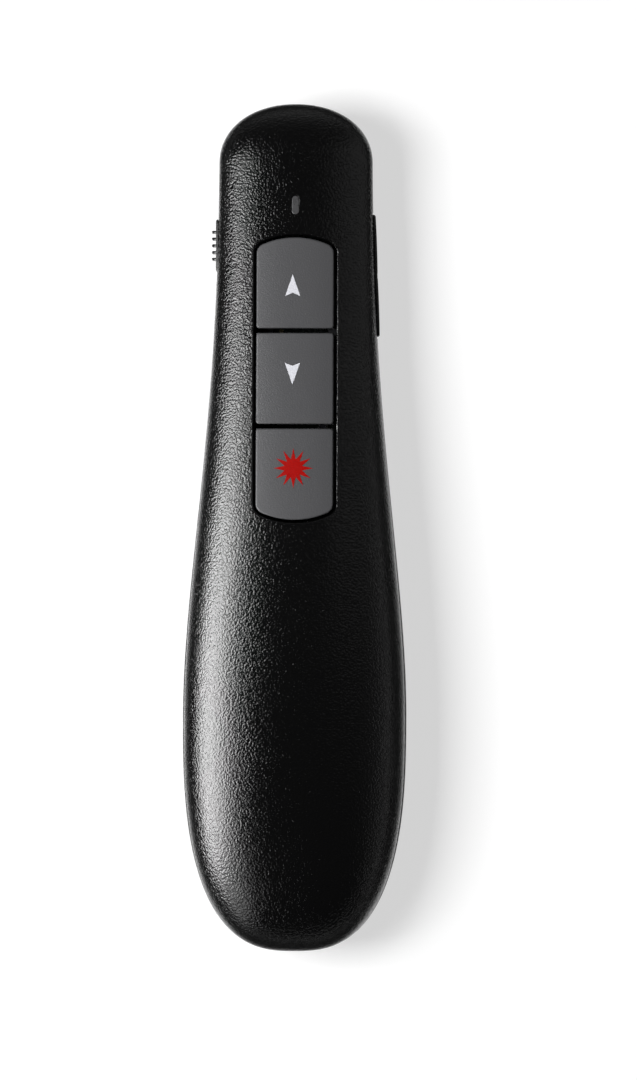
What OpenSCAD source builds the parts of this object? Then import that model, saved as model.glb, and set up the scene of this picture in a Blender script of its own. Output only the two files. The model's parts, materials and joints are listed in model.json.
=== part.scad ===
// Wireless presentation clicker: three keys on top, a laser pointer in the nose,
// a power slide and a rocker on the sides, two AAA cells and a stowed receiver.
// +Z is up, +Y points to the nose and X runs across. Z = 0 is the surface it lies on.

/* [Body] */
// Overall length from butt to nose
body_len = 127.6; // [124:0.2:160]
// Width across the neck that carries the keys
neck_w = 23.05; // [22.4:0.05:28]
// Width across the grip
grip_w = 33.3; // [33:0.1:42]
// Height of the crown over the grip
grip_h = 25; // [24:0.5:31]
// Height of the crown just behind the nose
nose_h = 18.8; // [18.4:0.2:22]
// Height of the seam between the two shells
seam_z = 13.5; // [13.5:0.1:14]
// Wall thickness of both shells
wall = 1.6; // [1.3:0.1:2]
// How high the underside of the neck stands
neck_lift = 5.5; // [3:0.5:6]
// How far the lower shell swells past the upper one
seam_bulge = 0.4; // [0:0.05:0.6]

/* [Keys] */
// Width of the keys
key_w = 11.6; // [9.6:0.2:14]
// Length of each key
key_len = 13.65; // [11.4:0.05:14.4]
// Gap between neighbouring keys
key_gap = 0.7; // [0.4:0.1:1]
// Distance from the nose tip to the front key
keys_front = 20.3; // [18.5:0.1:24]
// Running gap between the keys and their well
well_gap = 0.4; // [0.2:0.05:0.6]
// Height of the key tops above the shell
key_proud = 0.25; // [0:0.05:0.6]
// Radius of the curved ends of the key strip
key_arc = 12.3; // [9:0.1:30]
// Radius of the corners of the key strip
key_corner = 1.5; // [0.8:0.1:2.5]
// How far a key travels when it is pressed
key_travel = 0.5; // [0.2:0.05:0.6]

/* [Side controls] */
// Length of the power knob
knob_len = 7.9; // [6:0.1:9]
// Height of the power knob and the rocker
side_h = 3.6; // [3:0.1:4]
// How far the middle of the knob and the rocker lies below the seam
side_drop = 1.2; // [0:0.1:1.5]
// Distance from the nose tip to the middle of the power knob
knob_back = 21.35; // [20:0.05:24]
// Travel of the power knob
knob_travel = 1.4; // [1:0.1:2]
// How far the power knob stands out of the side
knob_proud = 0.28; // [0.2:0.02:0.8]
// Length of the volume rocker
rocker_len = 18.4; // [15.2:0.1:19.6]
// Distance from the nose tip to the middle of the rocker
rocker_back = 25.8; // [25:0.1:28]
// How far the rocker stands out of the side
rocker_proud = 0.4; // [0.3:0.05:1]
// Tilt of the rocker each way, in degrees
rocker_tilt = 2.5; // [1:0.5:3]

/* [Batteries] */
// Diameter of a cell
cell_d = 10.5; // [8.7:0.1:10.8]
// Length of a cell with its tip
cell_len = 44.5; // [40:0.5:44.5]
// Length of a pressed contact spring
spring_len = 3.5; // [2.6:0.1:4]
// Thickness of the contact plates
contact_t = 0.4; // [0.3:0.05:0.6]

/* [Laser] */
// Outer diameter of the laser barrel
barrel_d = 6; // [5:0.1:7]
// Length of the laser barrel
barrel_len = 9.6; // [8:0.1:9.6]
// Diameter of the port in the nose
port_d = 3.8; // [3:0.1:4]

/* [Receiver] */
// Width of the receiver cap
receiver_w = 14.6; // [13.6:0.1:17.6]
// Height of the receiver cap
receiver_h = 6.2; // [5.4:0.1:6.4]
// Distance the metal plug reaches out of the cap
plug_len = 11.8; // [10:0.1:12]

/* [Hidden] */
$fn = 40;

// Colours
shell_black = [0.07, 0.07, 0.07];
key_gray = [0.32, 0.32, 0.33];
board_black = [0.05, 0.06, 0.055];
steel = [0.75, 0.76, 0.78];
brass = [0.8, 0.62, 0.3];
dark_plastic = [0.12, 0.12, 0.13];
ceramic_tan = [0.72, 0.62, 0.48];

// Shape of the body: rounding lengths and the exponents of its curves
nose_round = 8.9;
butt_round = 35.25;
flare_lead = 6.75;
flare_power = 3.4;
nose_power = 2.13;
butt_power = 2.7;
crown_power = 2.3;
belly_power = 2.6;
foot_sink = 0.5;
big = 200;
eps = 0.02;

nose_y = body_len / 2;
butt_y = -body_len / 2;
nose_start = nose_y - nose_round;
butt_start = butt_y + butt_round;
crown_start = nose_y - 4;
neck_end_y = nose_y - 26;
neck_run = 33;

function unit(t) = max(0, min(1, t));
function smooth(t) = let (u = unit(t)) u * u * (3 - 2 * u);

// The sides flare from the neck to the grip along one smooth curve.
function flare(y) =
    let (start = nose_y + flare_lead, t = unit((start - y) / (start - butt_start)))
    pow(t, flare_power) * (1 + flare_power * (1 - t));
function half_w(y) = (neck_w + (grip_w - neck_w) * flare(y)) / 2;
function crown_z(y) =
    nose_h + (grip_h - nose_h) * smooth((crown_start - y) / (crown_start - butt_start));
function belly_z(y) =
    (neck_lift + foot_sink) * smooth(1 - (neck_end_y - y) / neck_run) - foot_sink;

// How far a station lies into the rounded nose or butt, from 0 to 1
function end_share(y, inset) =
    y > nose_start ? (y - nose_start) / (nose_round - inset)
    : y < butt_start ? (butt_start - y) / (butt_round - inset)
    : 0;
function plan_power(y) = y > nose_start ? nose_power : butt_power;

// Height of the upper surface at a point of the plan
function top_z(x, y, inset = 0) =
    let (m = plan_power(y), side = abs(x) / (half_w(y) - inset),
         rim = pow(pow(side, m) + pow(end_share(y, inset), m), 1 / m))
    seam_z + (crown_z(y) - inset - seam_z) * pow(1 - pow(min(1, rim), crown_power), 1 / crown_power);

// One point of the cross-section at station y, going round by the angle a
function section_point(y, inset, a) =
    let (e = end_share(y, inset), m = plan_power(y), upper = a <= 180,
         n = upper ? crown_power : belly_power,
         lift = (1 - pow(e, n)) * pow(sin(a), 2),
         h = pow(lift, 1 / n),
         span = pow(max(0, pow(1 - lift, m / n) - pow(e, m)), 1 / m),
         swell = upper ? 0 : seam_bulge * flare(y) * sin(180 * sqrt(h)),
         side = abs(cos(a)) < 0.001 ? 0 : sign(cos(a)))
    [side * span * (half_w(y) - inset + swell), y,
     upper ? seam_z + (crown_z(y) - inset - seam_z) * h
           : seam_z - (seam_z - belly_z(y) - inset) * h];

function stations(inset, nose_steps, neck_steps, butt_steps) = concat(
    [for (i = [nose_steps - 1:-1:1]) nose_start + (nose_round - inset) * sin(90 * i / nose_steps)],
    [for (i = [0:neck_steps]) nose_start + (butt_start - nose_start) * i / neck_steps],
    [for (i = [1:butt_steps - 1]) butt_start - (butt_round - inset) * sin(90 * i / butt_steps)]);

// The whole closed body, drawn in by inset; detail is 2 for the skin and 1 inside
module body_solid(inset = 0, detail = 2) {
    sides = detail == 2 ? 40 : 24;
    ys = detail == 2 ? stations(inset, 7, 14, 10) : stations(inset, 5, 8, 7);
    rings = [for (y = ys) for (i = [0:sides - 1]) section_point(y, inset, 360 * i / sides)];
    points = concat([[0, nose_y - inset, seam_z]], rings, [[0, butt_y + inset, seam_z]]);
    last = len(points) - 1;
    faces = concat(
        [for (i = [0:sides - 1]) [0, 1 + i, 1 + (i + 1) % sides]],
        [for (k = [0:len(ys) - 2]) for (i = [0:sides - 1])
            let (a = 1 + k * sides + i, b = 1 + k * sides + (i + 1) % sides)
            for (f = [[a, b + sides, b], [a, a + sides, b + sides]]) f],
        [for (i = [0:sides - 1]) [last, last - sides + (i + 1) % sides, last - sides + i]]);
    polyhedron(points, faces);
}

module above(z) translate([-big / 2, -big / 2, z]) cube([big, big, big]);
module below(z) translate([-big / 2, -big / 2, z - big]) cube([big, big, big]);

// A box given by its two corners
module span(low, high) translate(low) cube(high - low);

// A cylinder along Y, from y0 to y1, on the axis (x, z)
module along_y(d, y0, y1, x = 0, z = seam_z)
    translate([x, max(y0, y1), z]) rotate([90, 0, 0]) cylinder(d = d, h = abs(y1 - y0));

// A cylinder along X, from x0 to x1, on the axis (y, z)
module along_x(d, x0, x1, y, z)
    translate([min(x0, x1), y, z]) rotate([0, 90, 0]) cylinder(d = d, h = abs(x1 - x0));

// ---- layout of the board and of what stands on it
board_top = seam_z - 1.4;
board_t = 1;
board_half_w = neck_w / 2 - wall - 1.2;
board_front_y = nose_y - 13.4;

// ---- batteries: two cells side by side between sprung contacts
cell_r = cell_d / 2;
cell_gap = 0.3;
cell_fit = 0.3;
tip_d = 3.8;
tip_len = 0.8;
dimple = 0.2;
cell_x = cell_r + cell_gap / 2;
door_gap = 0.15;
door_t = wall;
cell_z = door_t + 0.95 + cell_r;
bay_wall = 1.2;
bay_len = 2 * contact_t + spring_len + cell_len + dimple;
bay_half_w = cell_x + cell_r + 0.35;
bay_top = cell_z + cell_r + cell_fit;
receiver_pocket = plug_len + 5;
bay_rear_y = butt_y + receiver_pocket + bay_wall;
bay_front_y = bay_rear_y + bay_len;
board_rear_y = bay_front_y + bay_wall + 0.4;

// ---- battery door: a sled that runs out to the rear on two side rails
door_half_w = bay_half_w + 0.4;
door_top = 4.4;
door_front_y = bay_front_y - door_gap;
rail_in = bay_half_w - 0.4;
rail_out = door_half_w + 0.7;
rail_z = door_top + 0.25;
rail_h = 0.8;

// ---- keys
strip_len = 3 * key_len + 2 * key_gap;
keys_front_y = nose_y - keys_front;
keys_rear_y = keys_front_y - strip_len;
switch_w = 5.2;
switch_h = 2.9;
cover_t = 0.25;
plunger_d = 2.6;
plunger_top = board_top + 3.8;
plunger_sink = 2.3;
flange_w = 0.9;
flange_t = 0.8;
flange_gap = 0.25;
key_skin = 1.3;
key_wall = 1;

function key_front(i) = keys_front_y - i * (key_len + key_gap);
function key_mid(i) = key_front(i) - key_len / 2;
function key_flange_top(i) =
    top_z(key_w / 2 + well_gap + flange_w, key_front(i), wall) - flange_gap;
function key_roof(i) = top_z(key_w / 2, key_front(i)) + key_proud - key_skin;
function arc_drop(x) = key_arc - sqrt(key_arc * key_arc - x * x);

// Outline of the whole key strip, seen from above
module strip_outline(grow = 0) {
    xs = [for (i = [-6:6]) key_w / 2 * i / 6];
    offset(r = key_corner + grow) offset(delta = -key_corner) polygon(concat(
        [for (x = xs) [x, keys_front_y - arc_drop(x)]],
        [for (i = [len(xs) - 1:-1:0]) [xs[i], keys_rear_y + arc_drop(xs[i])]]));
}

module key_outline(i) {
    intersection() {
        strip_outline();
        translate([-key_w / 2, key_front(i) - key_len]) square([key_w, key_len]);
    }
}

// A key cap: a crowned skin on short walls, with side flanges that hold it in the shell
module key_cap(i) {
    flange_top = key_flange_top(i);
    foot = flange_top - flange_t;
    reach = key_w / 2 + well_gap + flange_w;
    difference() {
        union() {
            intersection() {
                translate([0, 0, foot]) linear_extrude(grip_h) key_outline(i);
                translate([0, 0, key_proud]) body_solid();
            }
            for (side = [-1, 1])
                translate([side * (reach + key_w / 2 - 0.5) / 2, key_mid(i), flange_top - flange_t / 2])
                    cube([reach - key_w / 2 + 0.5, key_len - 3, flange_t], center = true);
        }
        translate([0, 0, foot - 1]) linear_extrude(key_roof(i) - foot + 1)
            offset(delta = -key_wall) key_outline(i);
        // Room for the rocker's hub beside the flange of a wide key
        translate([pin_x, rocker_y, 0]) cylinder(d = hub_d + 0.6, h = big);
    }
    translate([0, key_mid(i), plunger_top])
        cylinder(d = plunger_d + 0.8, h = key_roof(i) - plunger_top + 0.3);
}

module page_up_key() { color(key_gray) key_cap(0); }
module page_down_key() { color(key_gray) key_cap(1); }
module laser_key() { color(key_gray) key_cap(2); }

// ---- tact switches under the keys
module key_plunger(i) {
    translate([0, key_mid(i), plunger_top - plunger_sink]) cylinder(d = plunger_d, h = plunger_sink);
}

module key_switch(i) {
    bore_floor = plunger_top - plunger_sink - key_travel - 0.1;
    difference() {
        translate([-switch_w / 2, key_mid(i) - switch_w / 2, board_top])
            cube([switch_w, switch_w, switch_h - cover_t]);
        translate([0, key_mid(i), bore_floor]) cylinder(d = plunger_d + 0.4, h = switch_h);
    }
}

module page_up_plunger() { color(dark_plastic) key_plunger(0); }
module page_down_plunger() { color(dark_plastic) key_plunger(1); }
module laser_plunger() { color(dark_plastic) key_plunger(2); }
module page_up_switch() { color(dark_plastic) key_switch(0); }
module page_down_switch() { color(dark_plastic) key_switch(1); }
module laser_switch() { color(dark_plastic) key_switch(2); }

// ---- volume rocker, its pivot pin and the two side switches
side_z = seam_z - side_drop;
rocker_y = nose_y - rocker_back;
rocker_ends = [half_w(rocker_y + rocker_len / 2), half_w(rocker_y - rocker_len / 2)];
rocker_slope = atan((rocker_ends[1] - rocker_ends[0]) / rocker_len);
rocker_face_x = (rocker_ends[0] + rocker_ends[1]) / 2 + rocker_proud;
rocker_t = 1.9;
pin_x = half_w(rocker_y) - wall - 0.95;
pin_d = 1.2;
pin_len = 5.7;
side_switch_y = 6.5;
side_switch = [3, 6, 2.8];
side_switch_x = board_half_w - 0.8;
side_plunger_d = 1.6;
side_plunger_tip = side_switch_x + 0.8;
hub_d = 2.8;
side_fit = 0.25;
rocker_swing = rocker_len / 2 * sin(rocker_tilt);

module volume_rocker() {
    color(shell_black)
    difference() {
        union() {
            translate([rocker_face_x, rocker_y, side_z]) rotate([0, 0, rocker_slope])
                translate([-rocker_t, -rocker_len / 2, -side_h / 2])
                    cube([rocker_t, rocker_len, side_h]);
            translate([pin_x, rocker_y, side_z - side_h / 2]) cylinder(d = hub_d, h = side_h);
            span([pin_x, rocker_y - hub_d / 2 + 0.2, side_z - side_h / 2],
                 [rocker_face_x - rocker_t + 0.4, rocker_y + hub_d / 2 - 0.2, side_z + side_h / 2]);
            for (side = [-1, 1])
                span([side_plunger_tip + 0.05, rocker_y + side * side_switch_y - 0.9, seam_z - 1.1],
                     [rocker_face_x - rocker_t + 0.5, rocker_y + side * side_switch_y + 0.9,
                      side_z + side_h / 2]);
        }
        translate([pin_x, rocker_y, 0]) cylinder(d = pin_d + 0.1, h = big);
        translate([rocker_face_x, rocker_y, 0]) cylinder(d = 0.5, h = big);
    }
}

module rocker_pin() {
    color(steel) translate([pin_x, rocker_y, side_z - pin_len / 2]) cylinder(d = pin_d, h = pin_len);
}

module volume_plungers() {
    color(dark_plastic)
    for (side = [-1, 1])
        along_x(side_plunger_d, side_switch_x - 1.2, side_plunger_tip,
                rocker_y + side * side_switch_y, seam_z);
}

module side_switch_base(side) {
    y = rocker_y + side * side_switch_y;
    difference() {
        span([side_switch_x - side_switch[0], y - side_switch[1] / 2, board_top],
             [side_switch_x - cover_t, y + side_switch[1] / 2, board_top + side_switch[2]]);
        along_x(side_plunger_d + 0.5, side_switch_x - 1.7, side_switch_x + 1, y, seam_z);
    }
}

module volume_up_switch() { color(dark_plastic) side_switch_base(1); }
module volume_down_switch() { color(dark_plastic) side_switch_base(-1); }

// Thin steel covers: one on top of each key switch, one on the face of each side switch
module switch_covers() {
    color(steel) {
        for (i = [0:2])
            difference() {
                translate([-switch_w / 2, key_mid(i) - switch_w / 2, board_top + switch_h - cover_t])
                    cube([switch_w, switch_w, cover_t]);
                translate([0, key_mid(i), board_top]) cylinder(d = plunger_d + 0.3, h = switch_h + 1);
            }
        for (side = [-1, 1])
            difference() {
                translate([0, rocker_y + side * side_switch_y, 0])
                    span([side_switch_x - cover_t, -side_switch[1] / 2, board_top],
                         [side_switch_x, side_switch[1] / 2, board_top + side_switch[2]]);
                along_x(side_plunger_d + 0.5, side_switch_x - 1, side_switch_x + 1,
                        rocker_y + side * side_switch_y, seam_z);
            }
    }
}

// ---- power knob, its lever and the slide switch on the board
knob_y = nose_y - knob_back;
knob_floor_x = half_w(knob_y) - 0.02;
knob_in_x = knob_floor_x + 0.08;
knob_out_x = half_w(knob_y) + knob_proud;
knob_neck = [3, 1.5];
neck_z = side_z + side_h / 2 - knob_neck[1] / 2 - 0.05;
carrier = [0.9, 5, 2.4];
carrier_x = half_w(knob_y) - wall - 0.5;
rib_pitch = 1.02;
rib_d = 0.4;
rib_out = 0.45;
rib_h = side_h - 0.4;
lever_w = 1.2;
can_x = board_half_w - 0.3;
can = [2.7, 6.8, 2.8];
can_t = 0.3;
can_y = knob_y - knob_travel / 2;

module power_knob() {
    color(shell_black)
    difference() {
        union() {
            span([-knob_out_x, knob_y - knob_len / 2, side_z - side_h / 2],
                 [-knob_in_x, knob_y + knob_len / 2, side_z + side_h / 2]);
            for (i = [-2:2])
                translate([-knob_out_x - rib_out + rib_d / 2, knob_y + i * rib_pitch, side_z - rib_h / 2]) {
                    cylinder(d = rib_d, h = rib_h);
                    translate([0, -rib_d * 0.35, 0]) cube([rib_out, rib_d * 0.7, rib_h]);
                }
            span([-knob_in_x - eps, knob_y - knob_neck[0] / 2, neck_z - knob_neck[1] / 2],
                 [-carrier_x + 0.1, knob_y + knob_neck[0] / 2, neck_z + knob_neck[1] / 2]);
            span([-carrier_x, knob_y - carrier[1] / 2, seam_z - carrier[2] / 2],
                 [-carrier_x + carrier[0], knob_y + carrier[1] / 2, seam_z + carrier[2] / 2]);
        }
        span([-carrier_x + 0.2, knob_y - lever_w / 2 - 0.05, seam_z - lever_w / 2 - 0.05],
             [-carrier_x + 2, knob_y + lever_w / 2 + 0.05, seam_z + lever_w / 2 + 0.05]);
    }
}

module power_lever() {
    color(dark_plastic)
    span([-carrier_x + 0.25, knob_y - lever_w / 2, seam_z - lever_w / 2],
         [-can_x + 1.2, knob_y + lever_w / 2, seam_z + lever_w / 2]);
}

// The slide switch: a folded steel can with a slot that the lever runs in
module power_switch() {
    color(steel)
    difference() {
        translate([-can_x, can_y - can[1] / 2, board_top]) cube(can);
        translate([-can_x + can_t, can_y - can[1] / 2 + can_t, board_top + can_t])
            cube([can[0] - 2 * can_t, can[1] - 2 * can_t, can[2] - 2 * can_t]);
        translate([-can_x, can_y, seam_z])
            cube([2 * can_t + 0.2, knob_travel + lever_w + 0.4, lever_w + 0.3], center = true);
    }
}

// ---- circuit board and its parts
post_d = 3;
peg_d = 1.4;
board_posts = [
    [-board_half_w + 1.8, rocker_y - 2.9], [board_half_w - 2, rocker_y - 12.6],
    [-board_half_w + 1.8, board_rear_y + 7.4], [board_half_w - 1.8, board_rear_y + 7.4]
];
chip_at = [-board_half_w + 3, rocker_y - 8.3];

module main_board() {
    color(board_black)
    difference() {
        span([-board_half_w, board_rear_y, board_top - board_t], [board_half_w, board_front_y, board_top]);
        for (p = board_posts)
            translate([p[0], p[1], 0]) cylinder(d = peg_d + 0.2, h = big);
        translate([pin_x, rocker_y, 0]) cylinder(d = hub_d + 0.8, h = big);
        for (side = [-1, 1])
            translate([side * board_half_w, board_front_y, board_top]) rotate([0, 0, 45])
                cube([2, 2, 4], center = true);
    }
}

module on_board(at, size)
    translate([at[0] - size[0] / 2, at[1] - size[1] / 2, board_top]) cube(size);

module radio_chip() { color(dark_plastic) on_board(chip_at, [4.6, 4.6, 0.9]); }
module crystal() { color(steel) on_board([chip_at[0], chip_at[1] - 5.2], [3.2, 2.5, 0.8]); }

module capacitors() {
    color(ceramic_tan)
    for (i = [0:4]) on_board([-board_half_w + 1.6, board_rear_y + 10.6 + 1.5 * i], [1.6, 0.8, 0.8]);
}

module resistors() {
    color(dark_plastic)
    for (i = [0:5]) on_board([board_half_w - 4.6, board_rear_y + 10.4 + 1.5 * i], [1.6, 0.8, 0.45]);
}

// A meander of copper on the free corner at the front of the board
antenna_x = board_half_w - 4;
antenna_pitch = 0.9;

module antenna() {
    color(brass)
    union() {
        for (i = [0:3])
            translate([antenna_x + i * antenna_pitch, board_front_y - 2.7, board_top]) cube([0.4, 2, 0.1]);
        for (i = [0:2])
            translate([antenna_x + i * antenna_pitch, board_front_y - (i % 2 == 0 ? 1.1 : 2.7), board_top])
                cube([antenna_pitch + 0.4, 0.4, 0.1]);
    }
}

// ---- status light
led_y = nose_y - 15.45;
led_size = [1.6, 0.8, 0.6];
pill_w = 1.05;
pill_len = 2.8;

module pill(w, len, h) {
    for (end = [-1, 1]) translate([0, end * (len - w) / 2, 0]) cylinder(d = w, h = h);
    translate([-w / 2, -(len - w) / 2, 0]) cube([w, len - w, h]);
}

module status_led() { color("white") on_board([0, led_y], led_size); }

module light_pipe() {
    flange_z = top_z(0, led_y + 2, wall) - 0.75;
    color([0.55, 0.56, 0.58])
    union() {
        intersection() {
            translate([0, led_y, board_top + led_size[2] + 0.2]) pill(pill_w, pill_len, grip_h);
            body_solid();
        }
        translate([0, led_y, flange_z]) pill(pill_w + 1.2, pill_len + 1.2, 0.6);
    }
}

// ---- laser module in the nose
laser_z = seam_z - 2.4;
window_d = port_d + 0.9;
window_t = 1;
window_y = nose_y - 1.3;
barrel_front = window_y - window_t - 0.15;
barrel_rear = barrel_front - barrel_len;
barrel_bore = barrel_d - 1.8;
barrel_fit = 0.1;
laser_board_t = 0.8;
lens_back = 0.6;
lens_r = 4;

module laser_window() {
    color([0.35, 0.05, 0.06]) along_y(window_d, window_y - window_t, window_y, 0, laser_z);
}

module laser_barrel() {
    color(brass)
    difference() {
        along_y(barrel_d, barrel_rear, barrel_front, 0, laser_z);
        along_y(barrel_bore, barrel_rear - 1, barrel_front + 1, 0, laser_z);
    }
}

module laser_lens() {
    lens_y = barrel_front - lens_back;
    color([0.8, 0.9, 0.95])
    intersection() {
        along_y(barrel_bore - 0.06, lens_y - 1.4, lens_y, 0, laser_z);
        translate([0, lens_y - lens_r, laser_z]) sphere(r = lens_r);
    }
}

module laser_diode() {
    color(steel)
    union() {
        along_y(barrel_bore - 0.1, barrel_rear, barrel_rear + 0.8, 0, laser_z);
        along_y(barrel_bore - 1.3, barrel_rear + 0.8, barrel_rear + 2.6, 0, laser_z);
    }
}

module laser_board() {
    color(board_black)
    along_y(barrel_d - 0.4, barrel_rear - laser_board_t, barrel_rear, 0, laser_z);
}

// A round tube swept along a list of points
module tube(path, d, sides, ref) {
    last = len(path) - 1;
    rings = [for (i = [0:last])
        let (ahead = path[min(i + 1, last)] - path[max(i - 1, 0)], t = ahead / norm(ahead),
             u0 = cross(t, ref), u = u0 / norm(u0), v = cross(u, t))
        for (k = [0:sides - 1])
            path[i] + d / 2 * (cos(360 * k / sides) * u + sin(360 * k / sides) * v)];
    faces = concat(
        [[for (k = [sides - 1:-1:0]) k]],
        [for (i = [0:last - 1]) for (k = [0:sides - 1])
            let (a = i * sides + k, b = i * sides + (k + 1) % sides)
            for (f = [[a, b, b + sides], [a, b + sides, a + sides]]) f],
        [[for (k = [0:sides - 1]) last * sides + k]]);
    polyhedron(rings, faces);
}

// Route of one laser lead from its little board down to the main board
lead_d = 0.8;
lead_start = [1.2, barrel_rear - laser_board_t - eps, laser_z + 1.8];
lead_route = [
    [0, 0, 0], [0, -0.6, 0], [0.2, -1.2, 0.2], [0.7, -1.9, 0.4],
    [1.3, -2.6, 0.4], [1.8, -3.2, 0.1], [2, -3.5, -0.3], [2, -3.5, -0.76]
];

module laser_wires() {
    for (side = [-1, 1])
        color(side < 0 ? "black" : "red")
        tube([for (p = lead_route) let (q = lead_start + p) [side * q[0], q[1], q[2]]],
             lead_d, 8, [1, 0, 0]);
}

// ---- cells and contacts
spring_wire = 0.6;
spring_turns = 4;
spring_steps = 14;

module cell(x, tip_y, way) {
    along_y(tip_d, tip_y, tip_y - way * tip_len, x, cell_z);
    along_y(cell_d, tip_y - way * tip_len, tip_y - way * cell_len, x, cell_z);
}

front_plate_y = bay_front_y - contact_t;
rear_plate_y = bay_rear_y + contact_t;

module battery_left() { color([0.2, 0.45, 0.3]) cell(-cell_x, front_plate_y - dimple, 1); }
module battery_right() { color([0.2, 0.45, 0.3]) cell(cell_x, rear_plate_y + dimple, -1); }

// A conical spring from a plate at y0 to the flat end of a cell
module cell_spring(x, y0, way) {
    run = spring_len - spring_wire - 0.1;
    count = spring_turns * spring_steps;
    tube([for (i = [0:count])
            let (t = i / count, r = 3.4 - 1.4 * t, a = 360 * spring_turns * t)
            [x + r * cos(a), y0 + way * (spring_wire / 2 + 0.05 + run * t), cell_z + r * sin(a)]],
         spring_wire, 6, [0, 1, 0]);
}

module link_spring() { color(steel) cell_spring(-cell_x, rear_plate_y, 1); }
module negative_spring() { color(steel) cell_spring(cell_x, front_plate_y, -1); }

plate_low = cell_z - cell_r + 1.35;
plate_top = cell_z + cell_r - 1.05;
plate_w = 8;

module dimple_at(x, y0, way) along_y(3, y0, y0 + way * dimple, x, cell_z);

module link_contact() {
    color(steel)
    union() {
        span([-cell_x - plate_w / 2, bay_rear_y, plate_low],
             [cell_x + plate_w / 2, rear_plate_y, plate_top]);
        dimple_at(cell_x, rear_plate_y, 1);
    }
}

tab_w = 2;
tab_t = 0.35;

// A front contact with a tab that reaches over the bay wall onto the board
module front_contact(x) {
    span([x - plate_w / 2, front_plate_y, plate_low], [x + plate_w / 2, bay_front_y, plate_top]);
    span([x - tab_w / 2, front_plate_y, cell_z], [x + tab_w / 2, bay_front_y, board_top + tab_t]);
    span([x - tab_w / 2, front_plate_y, board_top], [x + tab_w / 2, board_rear_y + 1.6, board_top + tab_t]);
}

module positive_contact() {
    color(steel)
    union() {
        front_contact(-cell_x);
        dimple_at(-cell_x, front_plate_y, -1);
    }
}

module negative_contact() { color(steel) front_contact(cell_x); }

// ---- receiver in its pocket in the butt
plug = [12, 4.5];
plug_t = 0.3;
plug_hole = 2.2;
plug_hole_x = 3.2;
plug_hole_back = 5.5;
receiver_fit = 0.2;
receiver_z = seam_z - 1 - receiver_h / 2;
plug_tip_y = butt_y + receiver_pocket - 0.2;
cap_front_y = plug_tip_y - plug_len;

module receiver_cap() {
    color(shell_black)
    difference() {
        intersection() {
            span([-receiver_w / 2, butt_y - 1, receiver_z - receiver_h / 2],
                 [receiver_w / 2, cap_front_y, receiver_z + receiver_h / 2]);
            body_solid(0.15);
        }
        span([-4, butt_y - 1, receiver_z - 0.5], [4, butt_y + 1.3, receiver_z + 0.5]);
        span([-plug[0] / 2, cap_front_y - 2, receiver_z - plug[1] / 2],
             [plug[0] / 2, cap_front_y + 1, receiver_z + plug[1] / 2]);
    }
}

module receiver_plug() {
    color(steel)
    difference() {
        span([-plug[0] / 2, cap_front_y - 2, receiver_z - plug[1] / 2],
             [plug[0] / 2, plug_tip_y, receiver_z + plug[1] / 2]);
        span([-plug[0] / 2 + plug_t, cap_front_y - 2 + plug_t, receiver_z - plug[1] / 2 + plug_t],
             [plug[0] / 2 - plug_t, plug_tip_y + 1, receiver_z + plug[1] / 2 - plug_t]);
        for (side = [-1, 1])
            translate([side * plug_hole_x, plug_tip_y - plug_hole_back, receiver_z])
                cube([plug_hole, plug_hole, 2 * plug[1]], center = true);
    }
}

module receiver_tongue() {
    color(dark_plastic)
    union() {
        span([-plug[0] / 2 + plug_t, cap_front_y - 2 + plug_t, receiver_z - plug[1] / 2 + plug_t],
             [plug[0] / 2 - plug_t, cap_front_y + 0.6, receiver_z + plug[1] / 2 - plug_t]);
        span([-plug[0] / 2 + plug_t + 0.1, cap_front_y, receiver_z],
             [plug[0] / 2 - plug_t - 0.1, plug_tip_y - 0.4, receiver_z + plug[1] / 2 - plug_t]);
    }
}

module receiver_contacts() {
    color(brass)
    for (i = [0:3])
        translate([-4 + i * 2.5 - 0.5, cap_front_y + 1.2, receiver_z - 0.12])
            cube([1, plug_len - 2.4, 0.12]);
}

// ---- screws: two in the nose and two in the roof of the battery bay
head_d = 3.2;
head_h = 1.3;
shank_d = 1.8;
screw_fit = 0.2;
nose_screw_x = neck_w / 2 - wall - 2.8;
nose_screw_y = nose_y - 11;
nose_seat_z = seam_z - 4;
nose_bite = 2.4;
bay_screw_ys = [bay_front_y - 15, bay_rear_y + 12];
bay_bite = 5;
nose_boss_d = 4.4;
bay_boss_d = 4.6;

module screw(x, y, seat, tip) {
    translate([x, y, seat - head_h])
        difference() {
            cylinder(d = head_d, h = head_h);
            for (turn = [0, 90])
                rotate([0, 0, turn]) translate([-head_d * 0.3, -0.25, -1]) cube([head_d * 0.6, 0.5, 1.6]);
        }
    translate([x, y, seat - eps]) cylinder(d = shank_d, h = tip - seat + eps);
}

module case_screws() {
    color(steel) {
        for (side = [-1, 1]) screw(side * nose_screw_x, nose_screw_y, nose_seat_z, seam_z + nose_bite);
        for (y = bay_screw_ys) screw(0, y, bay_top, bay_top + bay_wall + bay_bite);
    }
}

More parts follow.
